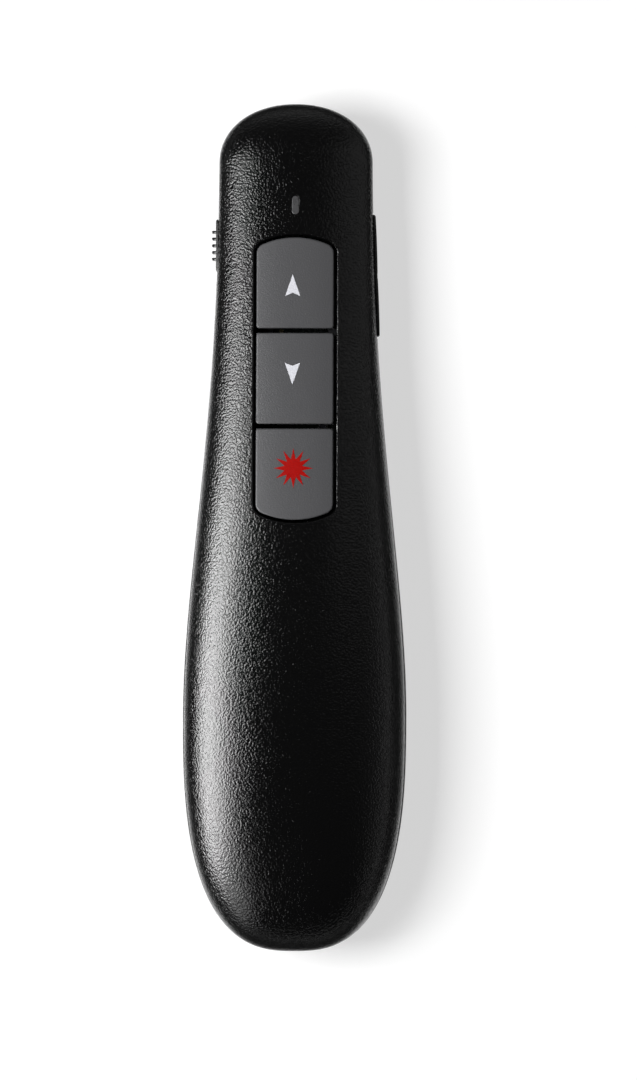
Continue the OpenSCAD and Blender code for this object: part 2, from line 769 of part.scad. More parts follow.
// ---- cuts that both shells share
module side_cuts() {
    // Recess and slot of the power knob
    span([-knob_floor_x - 4, knob_y - knob_len / 2 - knob_travel - 0.1, side_z - side_h / 2 - 0.15],
         [-knob_floor_x, knob_y + knob_len / 2 + 0.1, side_z + side_h / 2 + 0.15]);
    span([-knob_floor_x - 1, knob_y - knob_neck[0] / 2 - knob_travel - 0.2, neck_z - knob_neck[1] / 2 - 0.2],
         [-carrier_x + 1, knob_y + knob_neck[0] / 2 + 0.2, neck_z + knob_neck[1] / 2 + 0.2]);
    // Slot of the rocker
    translate([rocker_face_x, rocker_y, side_z]) rotate([0, 0, rocker_slope])
        cube([2 * (rocker_t + rocker_swing + 0.6), rocker_len + 2 * side_fit + 0.1, side_h + 2 * side_fit],
             center = true);
    translate([pin_x, rocker_y, side_z]) cylinder(d = hub_d + 0.5, h = side_h + 0.4, center = true);
    // Port, window seat and barrel bed of the laser
    along_y(port_d, window_y - 1, nose_y + 1, 0, laser_z);
    along_y(window_d + barrel_fit, barrel_front - 2, window_y, 0, laser_z);
    along_y(barrel_d + barrel_fit, barrel_rear - 1, barrel_front + 0.1, 0, laser_z);
}

// Ribs that cradle the laser barrel, from the seam up or down
module laser_cradle(z0, z1) {
    for (y = [barrel_rear + 2, barrel_front - 2.6])
        span([-barrel_d / 2 - 2.2, y, z0], [barrel_d / 2 + 2.2, y + 1, z1]);
}

module upper_shell() {
    color(shell_black)
    difference() {
        union() {
            difference() {
                body_solid();
                body_solid(wall, 1);
                below(seam_z);
            }
            intersection() {
                union() {
                    laser_cradle(seam_z, grip_h);
                    for (side = [-1, 1])
                        translate([side * nose_screw_x, nose_screw_y, seam_z])
                            cylinder(d = nose_boss_d, h = grip_h);
                    for (y = bay_screw_ys)
                        translate([0, y, bay_top + bay_wall]) cylinder(d = bay_boss_d, h = grip_h);
                    translate([pin_x, rocker_y, side_z + side_h / 2 + side_fit])
                        cylinder(d = hub_d, h = grip_h);
                }
                body_solid(wall / 2, 1);
            }
        }
        side_cuts();
        translate([0, 0, seam_z + 1]) linear_extrude(big) strip_outline(well_gap);
        translate([0, led_y, seam_z + 1]) pill(pill_w + 0.1, pill_len + 0.1, big);
        translate([pin_x, rocker_y, 0]) cylinder(d = pin_d + 0.04, h = side_z + pin_len / 2 + 0.1);
        for (side = [-1, 1])
            translate([side * nose_screw_x, nose_screw_y, 0])
                cylinder(d = shank_d + 0.1, h = seam_z + nose_bite + 0.2);
        for (y = bay_screw_ys)
            translate([0, y, 0]) cylinder(d = shank_d + 0.1, h = bay_top + bay_wall + bay_bite + 0.5);
    }
}

// The battery bay: two end walls, two side walls above the rails and a roof
module bay_box() {
    outer = bay_half_w + bay_wall;
    span([-outer, bay_front_y, -1], [outer, bay_front_y + bay_wall, bay_top + bay_wall]);
    span([-outer, bay_rear_y - bay_wall, door_top + door_gap], [outer, bay_rear_y, bay_top + bay_wall]);
    for (side = [-1, 1])
        translate([side * (bay_half_w + bay_wall / 2), (bay_front_y + bay_rear_y) / 2,
                   (rail_z + rail_h + 0.2 + bay_top + bay_wall) / 2])
            cube([bay_wall, bay_len + 2, bay_top + bay_wall - rail_z - rail_h - 0.2], center = true);
    span([-outer, bay_rear_y - bay_wall, bay_top], [outer, bay_front_y + bay_wall, bay_top + bay_wall]);
}

module lower_shell() {
    block_half = receiver_w / 2 + receiver_fit + bay_wall;
    color(shell_black)
    difference() {
        union() {
            difference() {
                body_solid();
                body_solid(wall, 1);
                above(seam_z);
                below(0);
            }
            intersection() {
                union() {
                    bay_box();
                    span([-grip_w, butt_y, door_top + door_gap],
                         [grip_w, bay_rear_y, receiver_z - receiver_h / 2 - receiver_fit + eps]);
                    span([-block_half, butt_y, door_top + door_gap], [block_half, bay_rear_y, seam_z]);
                    laser_cradle(0, seam_z);
                    for (side = [-1, 1])
                        translate([side * nose_screw_x, nose_screw_y, 0])
                            cylinder(d = nose_boss_d, h = seam_z);
                    for (p = board_posts) {
                        translate([p[0], p[1], 0]) cylinder(d = post_d, h = board_top - board_t);
                        translate([p[0], p[1], 0]) cylinder(d = peg_d, h = board_top + 0.2);
                    }
                    translate([pin_x, rocker_y, 0])
                        cylinder(d = hub_d, h = side_z - side_h / 2 - side_fit);
                }
                body_solid(wall / 2, 1);
            }
        }
        side_cuts();
        // Opening and rail grooves of the battery door
        span([-door_half_w - door_gap, butt_y - 1, -1],
             [door_half_w + door_gap, bay_front_y, door_top + door_gap]);
        span([-bay_half_w, bay_rear_y, 0], [bay_half_w, bay_front_y, rail_z + rail_h + 0.2]);
        for (side = [-1, 1])
            translate([side * (rail_in + rail_out) / 2, (bay_front_y + butt_y - 1) / 2,
                       (door_top + rail_z + rail_h + 0.2) / 2])
                cube([rail_out - rail_in + 2 * door_gap, bay_front_y - butt_y + 1,
                      rail_z + rail_h + 0.2 - door_top + 0.1], center = true);
        // Slots for the contact tabs
        for (side = [-1, 1])
            span([side * cell_x - tab_w / 2 - 0.2, bay_front_y - 1, min(bay_top, board_top) - 0.1],
                 [side * cell_x + tab_w / 2 + 0.2, bay_front_y + bay_wall + 1, board_top + tab_t + 0.2]);
        // Pocket of the receiver
        span([-receiver_w / 2 - receiver_fit, butt_y - 1, receiver_z - receiver_h / 2 - receiver_fit],
             [receiver_w / 2 + receiver_fit, cap_front_y + 0.1, receiver_z + receiver_h / 2 + receiver_fit]);
        span([-plug[0] / 2 - receiver_fit, cap_front_y, receiver_z - plug[1] / 2 - receiver_fit],
             [plug[0] / 2 + receiver_fit, plug_tip_y + 0.1, receiver_z + plug[1] / 2 + receiver_fit]);
        // Screw holes
        for (side = [-1, 1])
            translate([side * nose_screw_x, nose_screw_y, 0]) {
                cylinder(d = shank_d + 2 * screw_fit, h = big);
                translate([0, 0, -1]) cylinder(d = head_d + 2 * screw_fit, h = nose_seat_z + 1);
            }
        for (y = bay_screw_ys)
            translate([0, y, 0]) cylinder(d = shank_d + 2 * screw_fit, h = big);
        translate([pin_x, rocker_y, side_z - pin_len / 2 - 0.1]) cylinder(d = pin_d + 0.04, h = big);
    }
}

// ---- battery door
groove_pitch = 1.6;

module battery_door() {
    color(shell_black)
    difference() {
        union() {
            intersection() {
                difference() {
                    body_solid();
                    body_solid(door_t, 1);
                }
                span([-door_half_w, butt_y - 1, 0], [door_half_w, door_front_y, door_top]);
            }
            intersection() {
                for (side = [-1, 1])
                    translate([side * (rail_in + 0.15 + door_half_w) / 2, (door_front_y + bay_rear_y) / 2,
                               (rail_z + rail_h) / 2])
                        cube([door_half_w - rail_in - 0.15, door_front_y - bay_rear_y - 3, rail_z + rail_h],
                             center = true);
                body_solid(wall / 2, 1);
            }
            for (side = [-1, 1])
                translate([side * (rail_in + 0.15 + rail_out) / 2, (door_front_y + bay_rear_y) / 2,
                           rail_z + rail_h / 2])
                    cube([rail_out - rail_in - 0.15, door_front_y - bay_rear_y - 3, rail_h], center = true);
        }
        for (i = [0:5])
            translate([0, bay_rear_y + 8.3 + i * groove_pitch, 0]) cube([10, 0.7, 0.8], center = true);
    }
}

upper_shell();
lower_shell();
battery_door();
case_screws();
page_up_key();
page_down_key();
laser_key();
page_up_plunger();
page_down_plunger();
laser_plunger();
page_up_switch();
page_down_switch();
laser_switch();
switch_covers();
power_knob();
power_lever();
power_switch();
volume_rocker();
rocker_pin();
volume_plungers();
volume_up_switch();
volume_down_switch();
main_board();
radio_chip();
crystal();
capacitors();
resistors();
antenna();
status_led();
light_pipe();
laser_window();
laser_barrel();
laser_lens();
laser_diode();
laser_board();
laser_wires();
battery_left();
battery_right();
link_contact();
link_spring();
positive_contact();
negative_contact();
negative_spring();
receiver_cap();
receiver_plug();
receiver_tongue();
receiver_contacts();
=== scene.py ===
import json
import math

import bmesh
import bpy
import numpy as np
from mathutils import Matrix, Vector
from mathutils.geometry import delaunay_2d_cdt

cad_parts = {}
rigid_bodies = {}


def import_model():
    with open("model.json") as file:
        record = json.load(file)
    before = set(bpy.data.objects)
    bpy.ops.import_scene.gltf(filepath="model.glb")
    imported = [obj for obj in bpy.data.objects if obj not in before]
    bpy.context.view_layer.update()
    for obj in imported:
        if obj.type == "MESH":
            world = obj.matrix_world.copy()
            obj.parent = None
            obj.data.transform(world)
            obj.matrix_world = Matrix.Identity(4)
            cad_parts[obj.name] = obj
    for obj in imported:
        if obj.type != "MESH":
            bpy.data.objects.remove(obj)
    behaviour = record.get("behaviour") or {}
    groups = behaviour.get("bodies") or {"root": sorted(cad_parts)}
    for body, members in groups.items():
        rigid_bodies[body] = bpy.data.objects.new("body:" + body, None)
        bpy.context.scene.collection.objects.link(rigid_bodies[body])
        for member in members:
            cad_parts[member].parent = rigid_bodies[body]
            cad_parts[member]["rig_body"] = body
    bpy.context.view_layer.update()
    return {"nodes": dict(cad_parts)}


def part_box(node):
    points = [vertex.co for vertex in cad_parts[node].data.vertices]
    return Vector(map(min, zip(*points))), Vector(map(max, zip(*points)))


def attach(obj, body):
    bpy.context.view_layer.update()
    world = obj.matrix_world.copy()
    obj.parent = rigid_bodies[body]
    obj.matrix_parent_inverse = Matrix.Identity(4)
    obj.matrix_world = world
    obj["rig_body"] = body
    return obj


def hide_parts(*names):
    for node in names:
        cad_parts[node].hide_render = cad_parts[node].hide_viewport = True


MM = 0.001
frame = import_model()
scene = bpy.context.scene
scene.view_settings.view_transform = "Standard"


# ---- Camera
# A long lens straight above the keys, a little to the right of the part, so that a sliver of the
# lower shell shows along the right side. The frame is turned by the part's own slight turn.
frame_height = 162.35
frame_centre = Vector((3.56, -1.85, 16))
camera_distance = 1100
camera_lean = math.radians(0.6)
camera_turn = math.radians(0.165)
sensor_height = 36

lens = bpy.data.cameras.new("studio_camera")
lens.sensor_width = sensor_height
lens.lens = sensor_height * camera_distance / frame_height
lens.clip_start = 0.05
lens.clip_end = 10
camera = bpy.data.objects.new("studio_camera", lens)
scene.collection.objects.link(camera)
leaned = Matrix.Rotation(camera_lean, 4, "Y")
camera.matrix_world = (
    Matrix.Translation((frame_centre + leaned @ Vector((0, 0, camera_distance))) * MM)
    @ leaned
    @ Matrix.Rotation(camera_turn, 4, "Z")
)
scene.camera = camera


# ---- Studio
# A bank of strip panels on the left draws the long band on the shell. A lamp above gives the plain
# light and the shadow on a sheet of white paper, and a pale card on the right greys the neck.
def new_material(name):
    """An empty node material: (material, its node tree)"""
    made = bpy.data.materials.new(name)
    made.use_nodes = True
    made.node_tree.nodes.clear()
    return made, made.node_tree


def feed(tree, socket, value):
    """Links a socket to another one, or sets it to a plain number or colour. None leaves it alone."""
    if isinstance(value, bpy.types.NodeSocket):
        tree.links.new(value, socket)
    elif value is not None:
        socket.default_value = (*value, 1) if isinstance(value, tuple) else value


def put_out(tree, shader, output="ShaderNodeOutputMaterial"):
    """Puts a shader node on its tree's output"""
    tree.links.new(shader.outputs[0], tree.nodes.new(output).inputs["Surface"])


def glow(tree, kind, strength):
    """An emission or background node of some strength"""
    made = tree.nodes.new(kind)
    feed(tree, made.inputs["Strength"], strength)
    return made


def join(tree, kind, *values):
    """A math node of some kind, with sockets or plain numbers as its inputs"""
    made = tree.nodes.new("ShaderNodeMath")
    made.operation = kind
    for socket, value in zip(made.inputs, values):
        feed(tree, socket, value)
    return made.outputs[0]


def stretch(tree, value, low, high, to_low=0, to_high=1):
    """Value's range from low to high, stretched to another range and held at its ends"""
    made = tree.nodes.new("ShaderNodeMapRange")
    labels = ("Value", "From Min", "From Max", "To Min", "To Max")
    for label, number in zip(labels, (value, low, high, to_low, to_high)):
        feed(tree, made.inputs[label], number)
    return made.outputs[0]


def frame_place(tree):
    """Where a point of a surface lies in the frame, in metres"""
    return tree.nodes.new("ShaderNodeTexCoord").outputs["Object"]


def axis(tree, name):
    """One of the frame's coordinates, in metres"""
    made = tree.nodes.new("ShaderNodeSeparateXYZ")
    tree.links.new(frame_place(tree), made.inputs[0])
    return made.outputs[name]


def lamp(name, place, aim, size, radiance):
    """A rectangular lamp, as bright as radiance, that the camera doesn't see"""
    light = bpy.data.lights.new(name, "AREA")
    light.shape = "RECTANGLE"
    light.size, light.size_y = size[0] * MM, size[1] * MM
    light.energy = radiance * math.pi * light.size * light.size_y
    made = bpy.data.objects.new(name, light)
    made.location = Vector(place) * MM
    made.rotation_euler = (Vector(aim) - Vector(place)).to_track_quat("-Z", "Y").to_euler()
    made.visible_camera = False
    scene.collection.objects.link(made)
    return made


def sheet(name, corners, material):
    """A flat stage piece with four corners, in metres"""
    mesh = bpy.data.meshes.new(name)
    mesh.from_pydata(corners, [], [(0, 1, 2, 3)])
    mesh.materials.append(material)
    made = bpy.data.objects.new(name, mesh)
    scene.collection.objects.link(made)
    return made


# Each panel spans a range of Y and a range of Z, and has its own radiance.
strip_x = -120
strip_panels = (
    (-230, -140, 30, 180, 2.5),
    (-140, -100, 26, 110, 3),
    (-100, -5, 10, 66, 16),
    (-100, -5, 66, 105, 10),
    (-100, -5, 105, 145, 4),
    (-5, 14, 20, 105, 15),
    (14, 32, 36, 135, 15),
    (32, 46, 60, 165, 14),
    (46, 58, 84, 180, 12),
    (58, 68, 110, 230, 7),
)
for start, end, low, high, radiance in strip_panels:
    middle = ((start + end) / 2, (low + high) / 2)
    strip = lamp("strip_panel", (strip_x, *middle), (0, *middle), (end - start, high - low), radiance)
    strip.visible_diffuse = False
key_lamp = lamp("key_lamp", place=(-335, 0, 630), aim=(0, 0, 10), size=(225, 300), radiance=25.5)
key_lamp.visible_glossy = False

# The paper turns into a gray table around the part, which the camera sees as white too. Reflections
# and glass see it bright in a narrow rim along the part and far off, and dark in between: painted
# shade.
floor_half = 1.5
floor_glow, mirror_shade_glow = 0.63, 0.02
paper_white, table_gray = 0.45, 0.1
paper_edge, table_edge = 0.046, 0.062
length_off = 0.046
rim_start, rim_end = 0.019, 0.027
far_start, far_end = 0.105, 0.14
painted_mirror_shade = -0.92
paper, tree = new_material("white_paper")
across = join(tree, "ABSOLUTE", axis(tree, "X"))
along = join(tree, "SUBTRACT", join(tree, "ABSOLUTE", axis(tree, "Y")), length_off)
reach = join(tree, "MAXIMUM", across, along)
near = stretch(tree, reach, paper_edge, table_edge, 1, 0)
rays = tree.nodes.new("ShaderNodeLightPath").outputs
# Painted shade: beyond the narrow rim, reflections see the paper's own colour dimmed nearly to black.
mirror_shade_factor = stretch(tree, reach, rim_start, rim_end, 0, painted_mirror_shade)
mirror_shade_factor = join(tree, "MULTIPLY_ADD", rays["Is Glossy Ray"], mirror_shade_factor, 1)
shade = join(tree, "MULTIPLY", stretch(tree, near, 0, 1, table_gray, paper_white), mirror_shade_factor)
tone = tree.nodes.new("ShaderNodeCombineColor")
for socket in tone.inputs:
    tree.links.new(shade, socket)
matte = tree.nodes.new("ShaderNodeBsdfDiffuse")
tree.links.new(tone.outputs[0], matte.inputs["Color"])
seen = join(tree, "MULTIPLY", rays["Is Camera Ray"], stretch(tree, near, 0, 1, 1, floor_glow))
mirrored = join(tree, "MAXIMUM", rays["Is Glossy Ray"], rays["Is Transmission Ray"])
# The glow that reflections and glass see: bright along the rim and far off, with painted shade between.
close_by = stretch(tree, reach, rim_start, rim_end, floor_glow, mirror_shade_glow)
far_off = stretch(tree, reach, far_start, far_end, mirror_shade_glow, floor_glow)
mirrored = join(tree, "MULTIPLY", mirrored, join(tree, "MAXIMUM", close_by, far_off))
shining = glow(tree, "ShaderNodeEmission", join(tree, "ADD", seen, mirrored))
both = tree.nodes.new("ShaderNodeAddShader")
tree.links.new(matte.outputs[0], both.inputs[0])
tree.links.new(shining.outputs[0], both.inputs[1])
put_out(tree, both)
corners = ((-1, -1), (1, -1), (1, 1), (-1, 1))
sheet("floor", [(x * floor_half, y * floor_half, 0) for x, y in corners], paper)

# The card stands beside the neck, where the camera doesn't see it.
card_x, card_rear, card_front, card_top = 0.14, 0.04, 0.15, 0.36
card_strength = 0.3
card_glow, tree = new_material("card_glow")
put_out(tree, glow(tree, "ShaderNodeEmission", card_strength))
corners = ((card_rear, 0), (card_front, 0), (card_front, card_top), (card_rear, card_top))
card = sheet("right_card", [(card_x, y, z) for y, z in corners], card_glow)
card.visible_camera = card.visible_diffuse = card.visible_shadow = False

# The room is white to the camera, and otherwise dim, with a soft haze to the right and ahead.
room_dim, haze_power = 0.02, 6
room = bpy.data.worlds.new("room")
scene.world = room
room.use_nodes = True
tree = room.node_tree
tree.nodes.clear()
heading = tree.nodes.new("ShaderNodeSeparateXYZ")
tree.links.new(tree.nodes.new("ShaderNodeTexCoord").outputs["Generated"], heading.inputs[0])
haze = room_dim
for name, strength in (("X", 0.18), ("Y", 0.4)):
    facing = join(tree, "POWER", stretch(tree, heading.outputs[name], 0, 1), haze_power)
    haze = join(tree, "MULTIPLY_ADD", facing, strength, haze)
dim = glow(tree, "ShaderNodeBackground", haze)
white = glow(tree, "ShaderNodeBackground", 1)
chosen = tree.nodes.new("ShaderNodeMixShader")
tree.links.new(tree.nodes.new("ShaderNodeLightPath").outputs["Is Camera Ray"], chosen.inputs["Fac"])
tree.links.new(dim.outputs[0], chosen.inputs[1])
tree.links.new(white.outputs[0], chosen.inputs[2])
put_out(tree, chosen, "ShaderNodeOutputWorld")


# ---- Upper and lower shell
# Two black ABS mouldings that meet at a fine shadow gap and are screwed together from below. The
# lower one swells a little past the upper one, and both have a fine spark-eroded texture.
shell_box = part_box("upper_shell")
body_len = (shell_box[1].y - shell_box[0].y) / MM
grip_h = shell_box[1].z / MM
neck_w = 23.05
grip_w = 33.3
nose_h = 18.8
seam_z = 13.5
neck_lift = 5.5
seam_bulge = 0.29
nose_round = 8.9
butt_round = 35.25
flare_lead = 6.75
flare_power = 3.4
nose_power = 2.13
butt_power = 2.7
crown_power = 2.3
belly_power = 2.6
foot_sink = 0.5
nose_y = body_len / 2
butt_y = -body_len / 2
nose_start = nose_y - nose_round
butt_start = butt_y + butt_round
crown_start = nose_y - 4
neck_end_y = nose_y - 26
neck_run = 33


def smooth(t):
    t = np.clip(t, 0, 1)
    return t * t * (3 - 2 * t)


def flare(y):
    start = nose_y + flare_lead
    t = np.clip((start - y) / (start - butt_start), 0, 1)
    return t**flare_power * (1 + flare_power * (1 - t))


def half_w(y):
    return (neck_w + (grip_w - neck_w) * flare(y)) / 2


def crown_z(y):
    return nose_h + (grip_h - nose_h) * smooth((crown_start - y) / (crown_start - butt_start))


def belly_z(y):
    return (neck_lift + foot_sink) * smooth(1 - (neck_end_y - y) / neck_run) - foot_sink


def end_share(y, inset=0):
    nose = (y - nose_start) / (nose_round - inset)
    butt = (butt_start - y) / (butt_round - inset)
    return np.clip(np.maximum(nose, butt), 0, None)


def plan_power(y):
    return np.where(y > nose_start, nose_power, butt_power)


def swell(y, h):
    return seam_bulge * flare(y) * np.sin(math.pi * np.sqrt(np.clip(h, 0, 1)))


def top_z(x, y):
    """Height of the upper surface at a point of the plan"""
    rim = ((abs(x) / half_w(y)) ** plan_power(y) + end_share(y) ** plan_power(y)) ** (1 / plan_power(y))
    return seam_z + (crown_z(y) - seam_z) * (1 - np.clip(rim, 0, 1) ** crown_power) ** (1 / crown_power)


def body_field(x, y, z):
    """1 on the surface of the closed body, less inside it"""
    upper = z >= seam_z
    power = np.where(upper, crown_power, belly_power)
    h = np.where(upper, (z - seam_z) / (crown_z(y) - seam_z), (seam_z - z) / (seam_z - belly_z(y)))
    side = abs(x) / (half_w(y) + np.where(upper, 0, swell(y, h)))
    m = plan_power(y)
    return (side**m + end_share(y) ** m) ** (power / m) + np.clip(h, 0, None) ** power


probe = 0.01


def body_normals(points):
    """Directions square to the closed body's surface"""
    steps = np.eye(3) * probe
    slopes = [body_field(*(points + step).T) - body_field(*(points - step).T) for step in steps]
    normals = np.stack(slopes, axis=1)
    return normals / np.maximum(np.linalg.norm(normals, axis=1, keepdims=True), 1e-9)


def make_object(name, points, faces):
    """An object from points in millimetres"""
    mesh = bpy.data.meshes.new(name)
    mesh.from_pydata([Vector(p) * MM for p in points], [], faces)
    mesh.validate()
    made = bpy.data.objects.new(name, mesh)
    scene.collection.objects.link(made)
    return made


body_sides = 128
nose_rings = 20
neck_rings = 60
butt_rings = 36
crowding = 0.85


def body_loft(name, inset=0):
    """The whole closed body, drawn in by inset, as rings from the nose to the butt. The points of a
    ring crowd towards the seam and the crest."""
    quarter = np.linspace(0, 1, body_sides // 4 + 1)
    quarter = (quarter - crowding * np.sin(2 * math.pi * quarter) / (2 * math.pi)) * math.pi / 2
    half = np.concatenate([quarter, math.pi - quarter[-2::-1]])
    angles = np.concatenate([half, half[1:-1] + math.pi])
    nose = nose_start + (nose_round - inset) * np.sin(np.linspace(math.pi / 2, 0, nose_rings + 1)[1:])
    neck = np.linspace(nose_start, butt_start, neck_rings + 1)[1:]
    butt = butt_start - (butt_round - inset) * np.sin(np.linspace(0, math.pi / 2, butt_rings + 1)[1:-1])
    points = [(0, nose_y - inset, seam_z)]
    for y in np.concatenate([nose, neck, butt]):
        upper = angles <= math.pi
        power = np.where(upper, crown_power, belly_power)
        m, e = float(plan_power(y)), float(end_share(y, inset))
        lift = (1 - e**power) * np.sin(angles) ** 2
        h = lift ** (1 / power)
        reach = np.clip((1 - lift) ** (m / power) - e**m, 0, None) ** (1 / m)
        width = half_w(y) - inset + np.where(upper, 0, swell(y, h))
        x = np.sign(np.round(np.cos(angles), 9)) * reach * width
        up = seam_z + (crown_z(y) - inset - seam_z) * h
        down = seam_z - (seam_z - belly_z(y) - inset) * h
        points += list(zip(x, np.full_like(x, y), np.where(upper, up, down)))
    points.append((0, butt_y + inset, seam_z))
    last = len(points) - 1
    rings = (last - 1) // body_sides
    faces = []
    for i in range(body_sides):
        j = (i + 1) % body_sides
        faces.append((0, 1 + j, 1 + i))
        faces.append((last, last - body_sides + i, last - body_sides + j))
        for k in range(rings - 1):
            a, b = 1 + k * body_sides + i, 1 + k * body_sides + j
            faces.append((a, b, b + body_sides, a + body_sides))
    return make_object(name, points, faces)


def block(low, high):
    """A box between two corners"""
    spans = list(zip(low, high))
    points = [(x, y, z) for x in spans[0] for y in spans[1] for z in spans[2]]
    faces = [(0, 1, 3, 2), (4, 6, 7, 5), (0, 4, 5, 1), (2, 3, 7, 6), (0, 2, 6, 4), (1, 5, 7, 3)]
    return make_object("block", points, faces)


def rod(start, end, d, sides=48):
    """A cylinder from start to end"""
    start, end = Vector(start), Vector(end)
    turn = (end - start).to_track_quat("Z", "Y").to_matrix()
    points = []
    for centre in (start, end):
        for k in range(sides):
            a = 2 * math.pi * k / sides
            points.append(centre + turn @ Vector((math.cos(a) * d / 2, math.sin(a) * d / 2, 0)))
    faces = [tuple(range(sides - 1, -1, -1)), tuple(range(sides, 2 * sides))]
    faces += [(k, (k + 1) % sides, sides + (k + 1) % sides, sides + k) for k in range(sides)]
    return make_object("rod", points, faces)


def combine(base, *steps):
    """Cuts, joins or meets base with other objects in turn, and removes them"""
    for operation, other in steps:
        step = base.modifiers.new(operation, "BOOLEAN")
        step.operation = operation
        step.solver = "MANIFOLD"
        step.object = other
    view = bpy.context.evaluated_depsgraph_get()
    mesh = bpy.data.meshes.new_from_object(base.evaluated_get(view))
    base.modifiers.clear()
    base.data = mesh
    for _, other in steps:
        bpy.data.objects.remove(other)
    return base


def cut(*others):
    """The steps of combine that cut each of these away"""
    return [("DIFFERENCE", other) for other in others]


def weld(made):
    """Joins points that share a place, so that the mesh is closed"""
    mesh = bmesh.new()
    mesh.from_mesh(made.data)
    bmesh.ops.remove_doubles(mesh, verts=mesh.verts, dist=1e-7)
    mesh.to_mesh(made.data)
    mesh.free()


def kept_part(node, within):
    """What of a frame node lies within another object, as a new object"""
    made = bpy.data.objects.new(node + "_inside", frame["nodes"][node].data.copy())
    scene.collection.objects.link(made)
    weld(made)
    return combine(made, ("INTERSECT", within))


sharp_edge = 32
skin_match = 0.006
skin_facing = 0.9


def dress(made, name, material, body, node=None, skin=None):
    """Names and shades a piece, gives it its material and seats it on its body. skin is how far its
    outer face stands from the closed body's, whose own normals it then takes there."""
    made.name = made.data.name = name
    mesh = made.data
    mesh.materials.clear()
    mesh.materials.append(material)
    for polygon in mesh.polygons:
        polygon.use_smooth = True
        polygon.material_index = 0
    mesh.set_sharp_from_angle(angle=math.radians(sharp_edge))
    if skin is not None:
        points = np.array([v.co for v in mesh.vertices]) / MM
        points[:, 2] -= skin
        normals = body_normals(points)
        on_skin = abs(body_field(*points.T) - 1) < skin_match
        given = np.zeros((len(mesh.loops), 3))
        for polygon in mesh.polygons:
            corners = list(polygon.vertices)
            if not on_skin[corners].all():
                continue
            middle = np.array(polygon.center) / MM - (0, 0, skin)
            if abs(body_field(*middle) - 1) > skin_match:
                continue
            if normals[corners].mean(axis=0) @ np.array(polygon.normal) > skin_facing:
                given[list(polygon.loop_indices)] = normals[corners]
        mesh.normals_split_custom_set([tuple(n) for n in given])
    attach(made, body)
    if node:
        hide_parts(node)


def new_group(name, inputs, outputs):
    """A node group with number inputs and outputs: (group, what it is given, what it puts out)"""
    group = bpy.data.node_groups.new(name, "ShaderNodeTree")
    number = "NodeSocketFloat"
    for label, value in inputs.items():
        group.interface.new_socket(label, in_out="INPUT", socket_type=number).default_value = value
    for label in outputs:
        group.interface.new_socket(label, in_out="OUTPUT", socket_type=number)
    return group, group.nodes.new("NodeGroupInput").outputs, group.nodes.new("NodeGroupOutput").inputs


def noise(tree, scale, detail=2, roughness=0.5, vector=None):
    """A noise pattern of so many cells to the metre, laid over the frame's coordinates"""
    made = tree.nodes.new("ShaderNodeTexNoise")
    tree.links.new(frame_place(tree) if vector is None else vector, made.inputs["Vector"])
    for label, value in (("Scale", scale), ("Detail", detail), ("Roughness", roughness)):
        feed(tree, made.inputs[label], value)
    return made.outputs["Fac"]


# Spark erosion pits a mould evenly, and the pits stand up as rounded pimples on the plastic.
fine_scale, fine_share, pimple_rough = 2.7, 0.35, 0.1
grain, given, out = new_group("moulded_grain", {"Cells": 3600, "Rough": 0.4}, ["Height", "Roughness"])
pimples = stretch(grain, noise(grain, given["Cells"], 1.5, 0.45), 0.36, 0.66)
fine = noise(grain, join(grain, "MULTIPLY", given["Cells"], fine_scale), 1)
height = join(grain, "ADD", pimples, join(grain, "MULTIPLY", fine, fine_share))
grain.links.new(height, out["Height"])
rough = join(grain, "ADD", given["Rough"], join(grain, "MULTIPLY", pimples, pimple_rough))
grain.links.new(rough, out["Roughness"])

# Hands leave soft patches that shine a little more, and pockets and pores keep some pale dust.
speck_cells, cloud_cells = 5200, 120
handling, given, out = new_group("handling", {"Patches": 55, "Dust": 0.5}, ["Polish", "Dust"])
patches = noise(handling, given["Patches"], 3, 0.6)
handling.links.new(stretch(handling, patches, 0.42, 0.68), out["Polish"])
specks = stretch(handling, noise(handling, speck_cells, 1), 0.72, 0.8)
clouds = stretch(handling, noise(handling, cloud_cells), 0.4, 0.7)
dust = join(handling, "MULTIPLY", join(handling, "MULTIPLY", specks, clouds), given["Dust"])
handling.links.new(dust, out["Dust"])


def place_group(tree, group, **values):
    """A group placed in a material, with its inputs set: its outputs"""
    made = tree.nodes.new("ShaderNodeGroup")
    made.node_tree = group
    for label, value in values.items():
        made.inputs[label].default_value = value
    return made.outputs


def blend(tree, mask, first, second):
    """The first colour where mask is 0 and the second where it is 1"""
    made = tree.nodes.new("ShaderNodeMix")
    made.data_type = "RGBA"
    for label, value in (("Factor", mask), ("A", first), ("B", second)):
        feed(tree, made.inputs[label], value)
    return made.outputs["Result"]


def uneven(tree, pattern, low, high):
    """A roughness that wanders between two values with a noise pattern"""
    return stretch(tree, pattern, 0.3, 0.7, low, high)


def surface(tree, colour, roughness, height, depth, **plain):
    """The material's Principled shader on its output, fed by sockets and set to plain numbers. The
    whole range of height stands for so many millimetres of depth."""
    bump = tree.nodes.new("ShaderNodeBump")
    bump.inputs["Strength"].default_value = 1
    bump.inputs["Distance"].default_value = depth * MM
    tree.links.new(height, bump.inputs["Height"])
    made = tree.nodes.new("ShaderNodeBsdfPrincipled")
    fed = {"Base Color": colour, "Roughness": roughness, "Normal": bump.outputs[0], **plain}
    for label, value in fed.items():
        feed(tree, made.inputs[label.replace("_", " ")], value)
    put_out(tree, made)


dust_lift, dust_base = 2, 0.015
hand_polish = 0.08


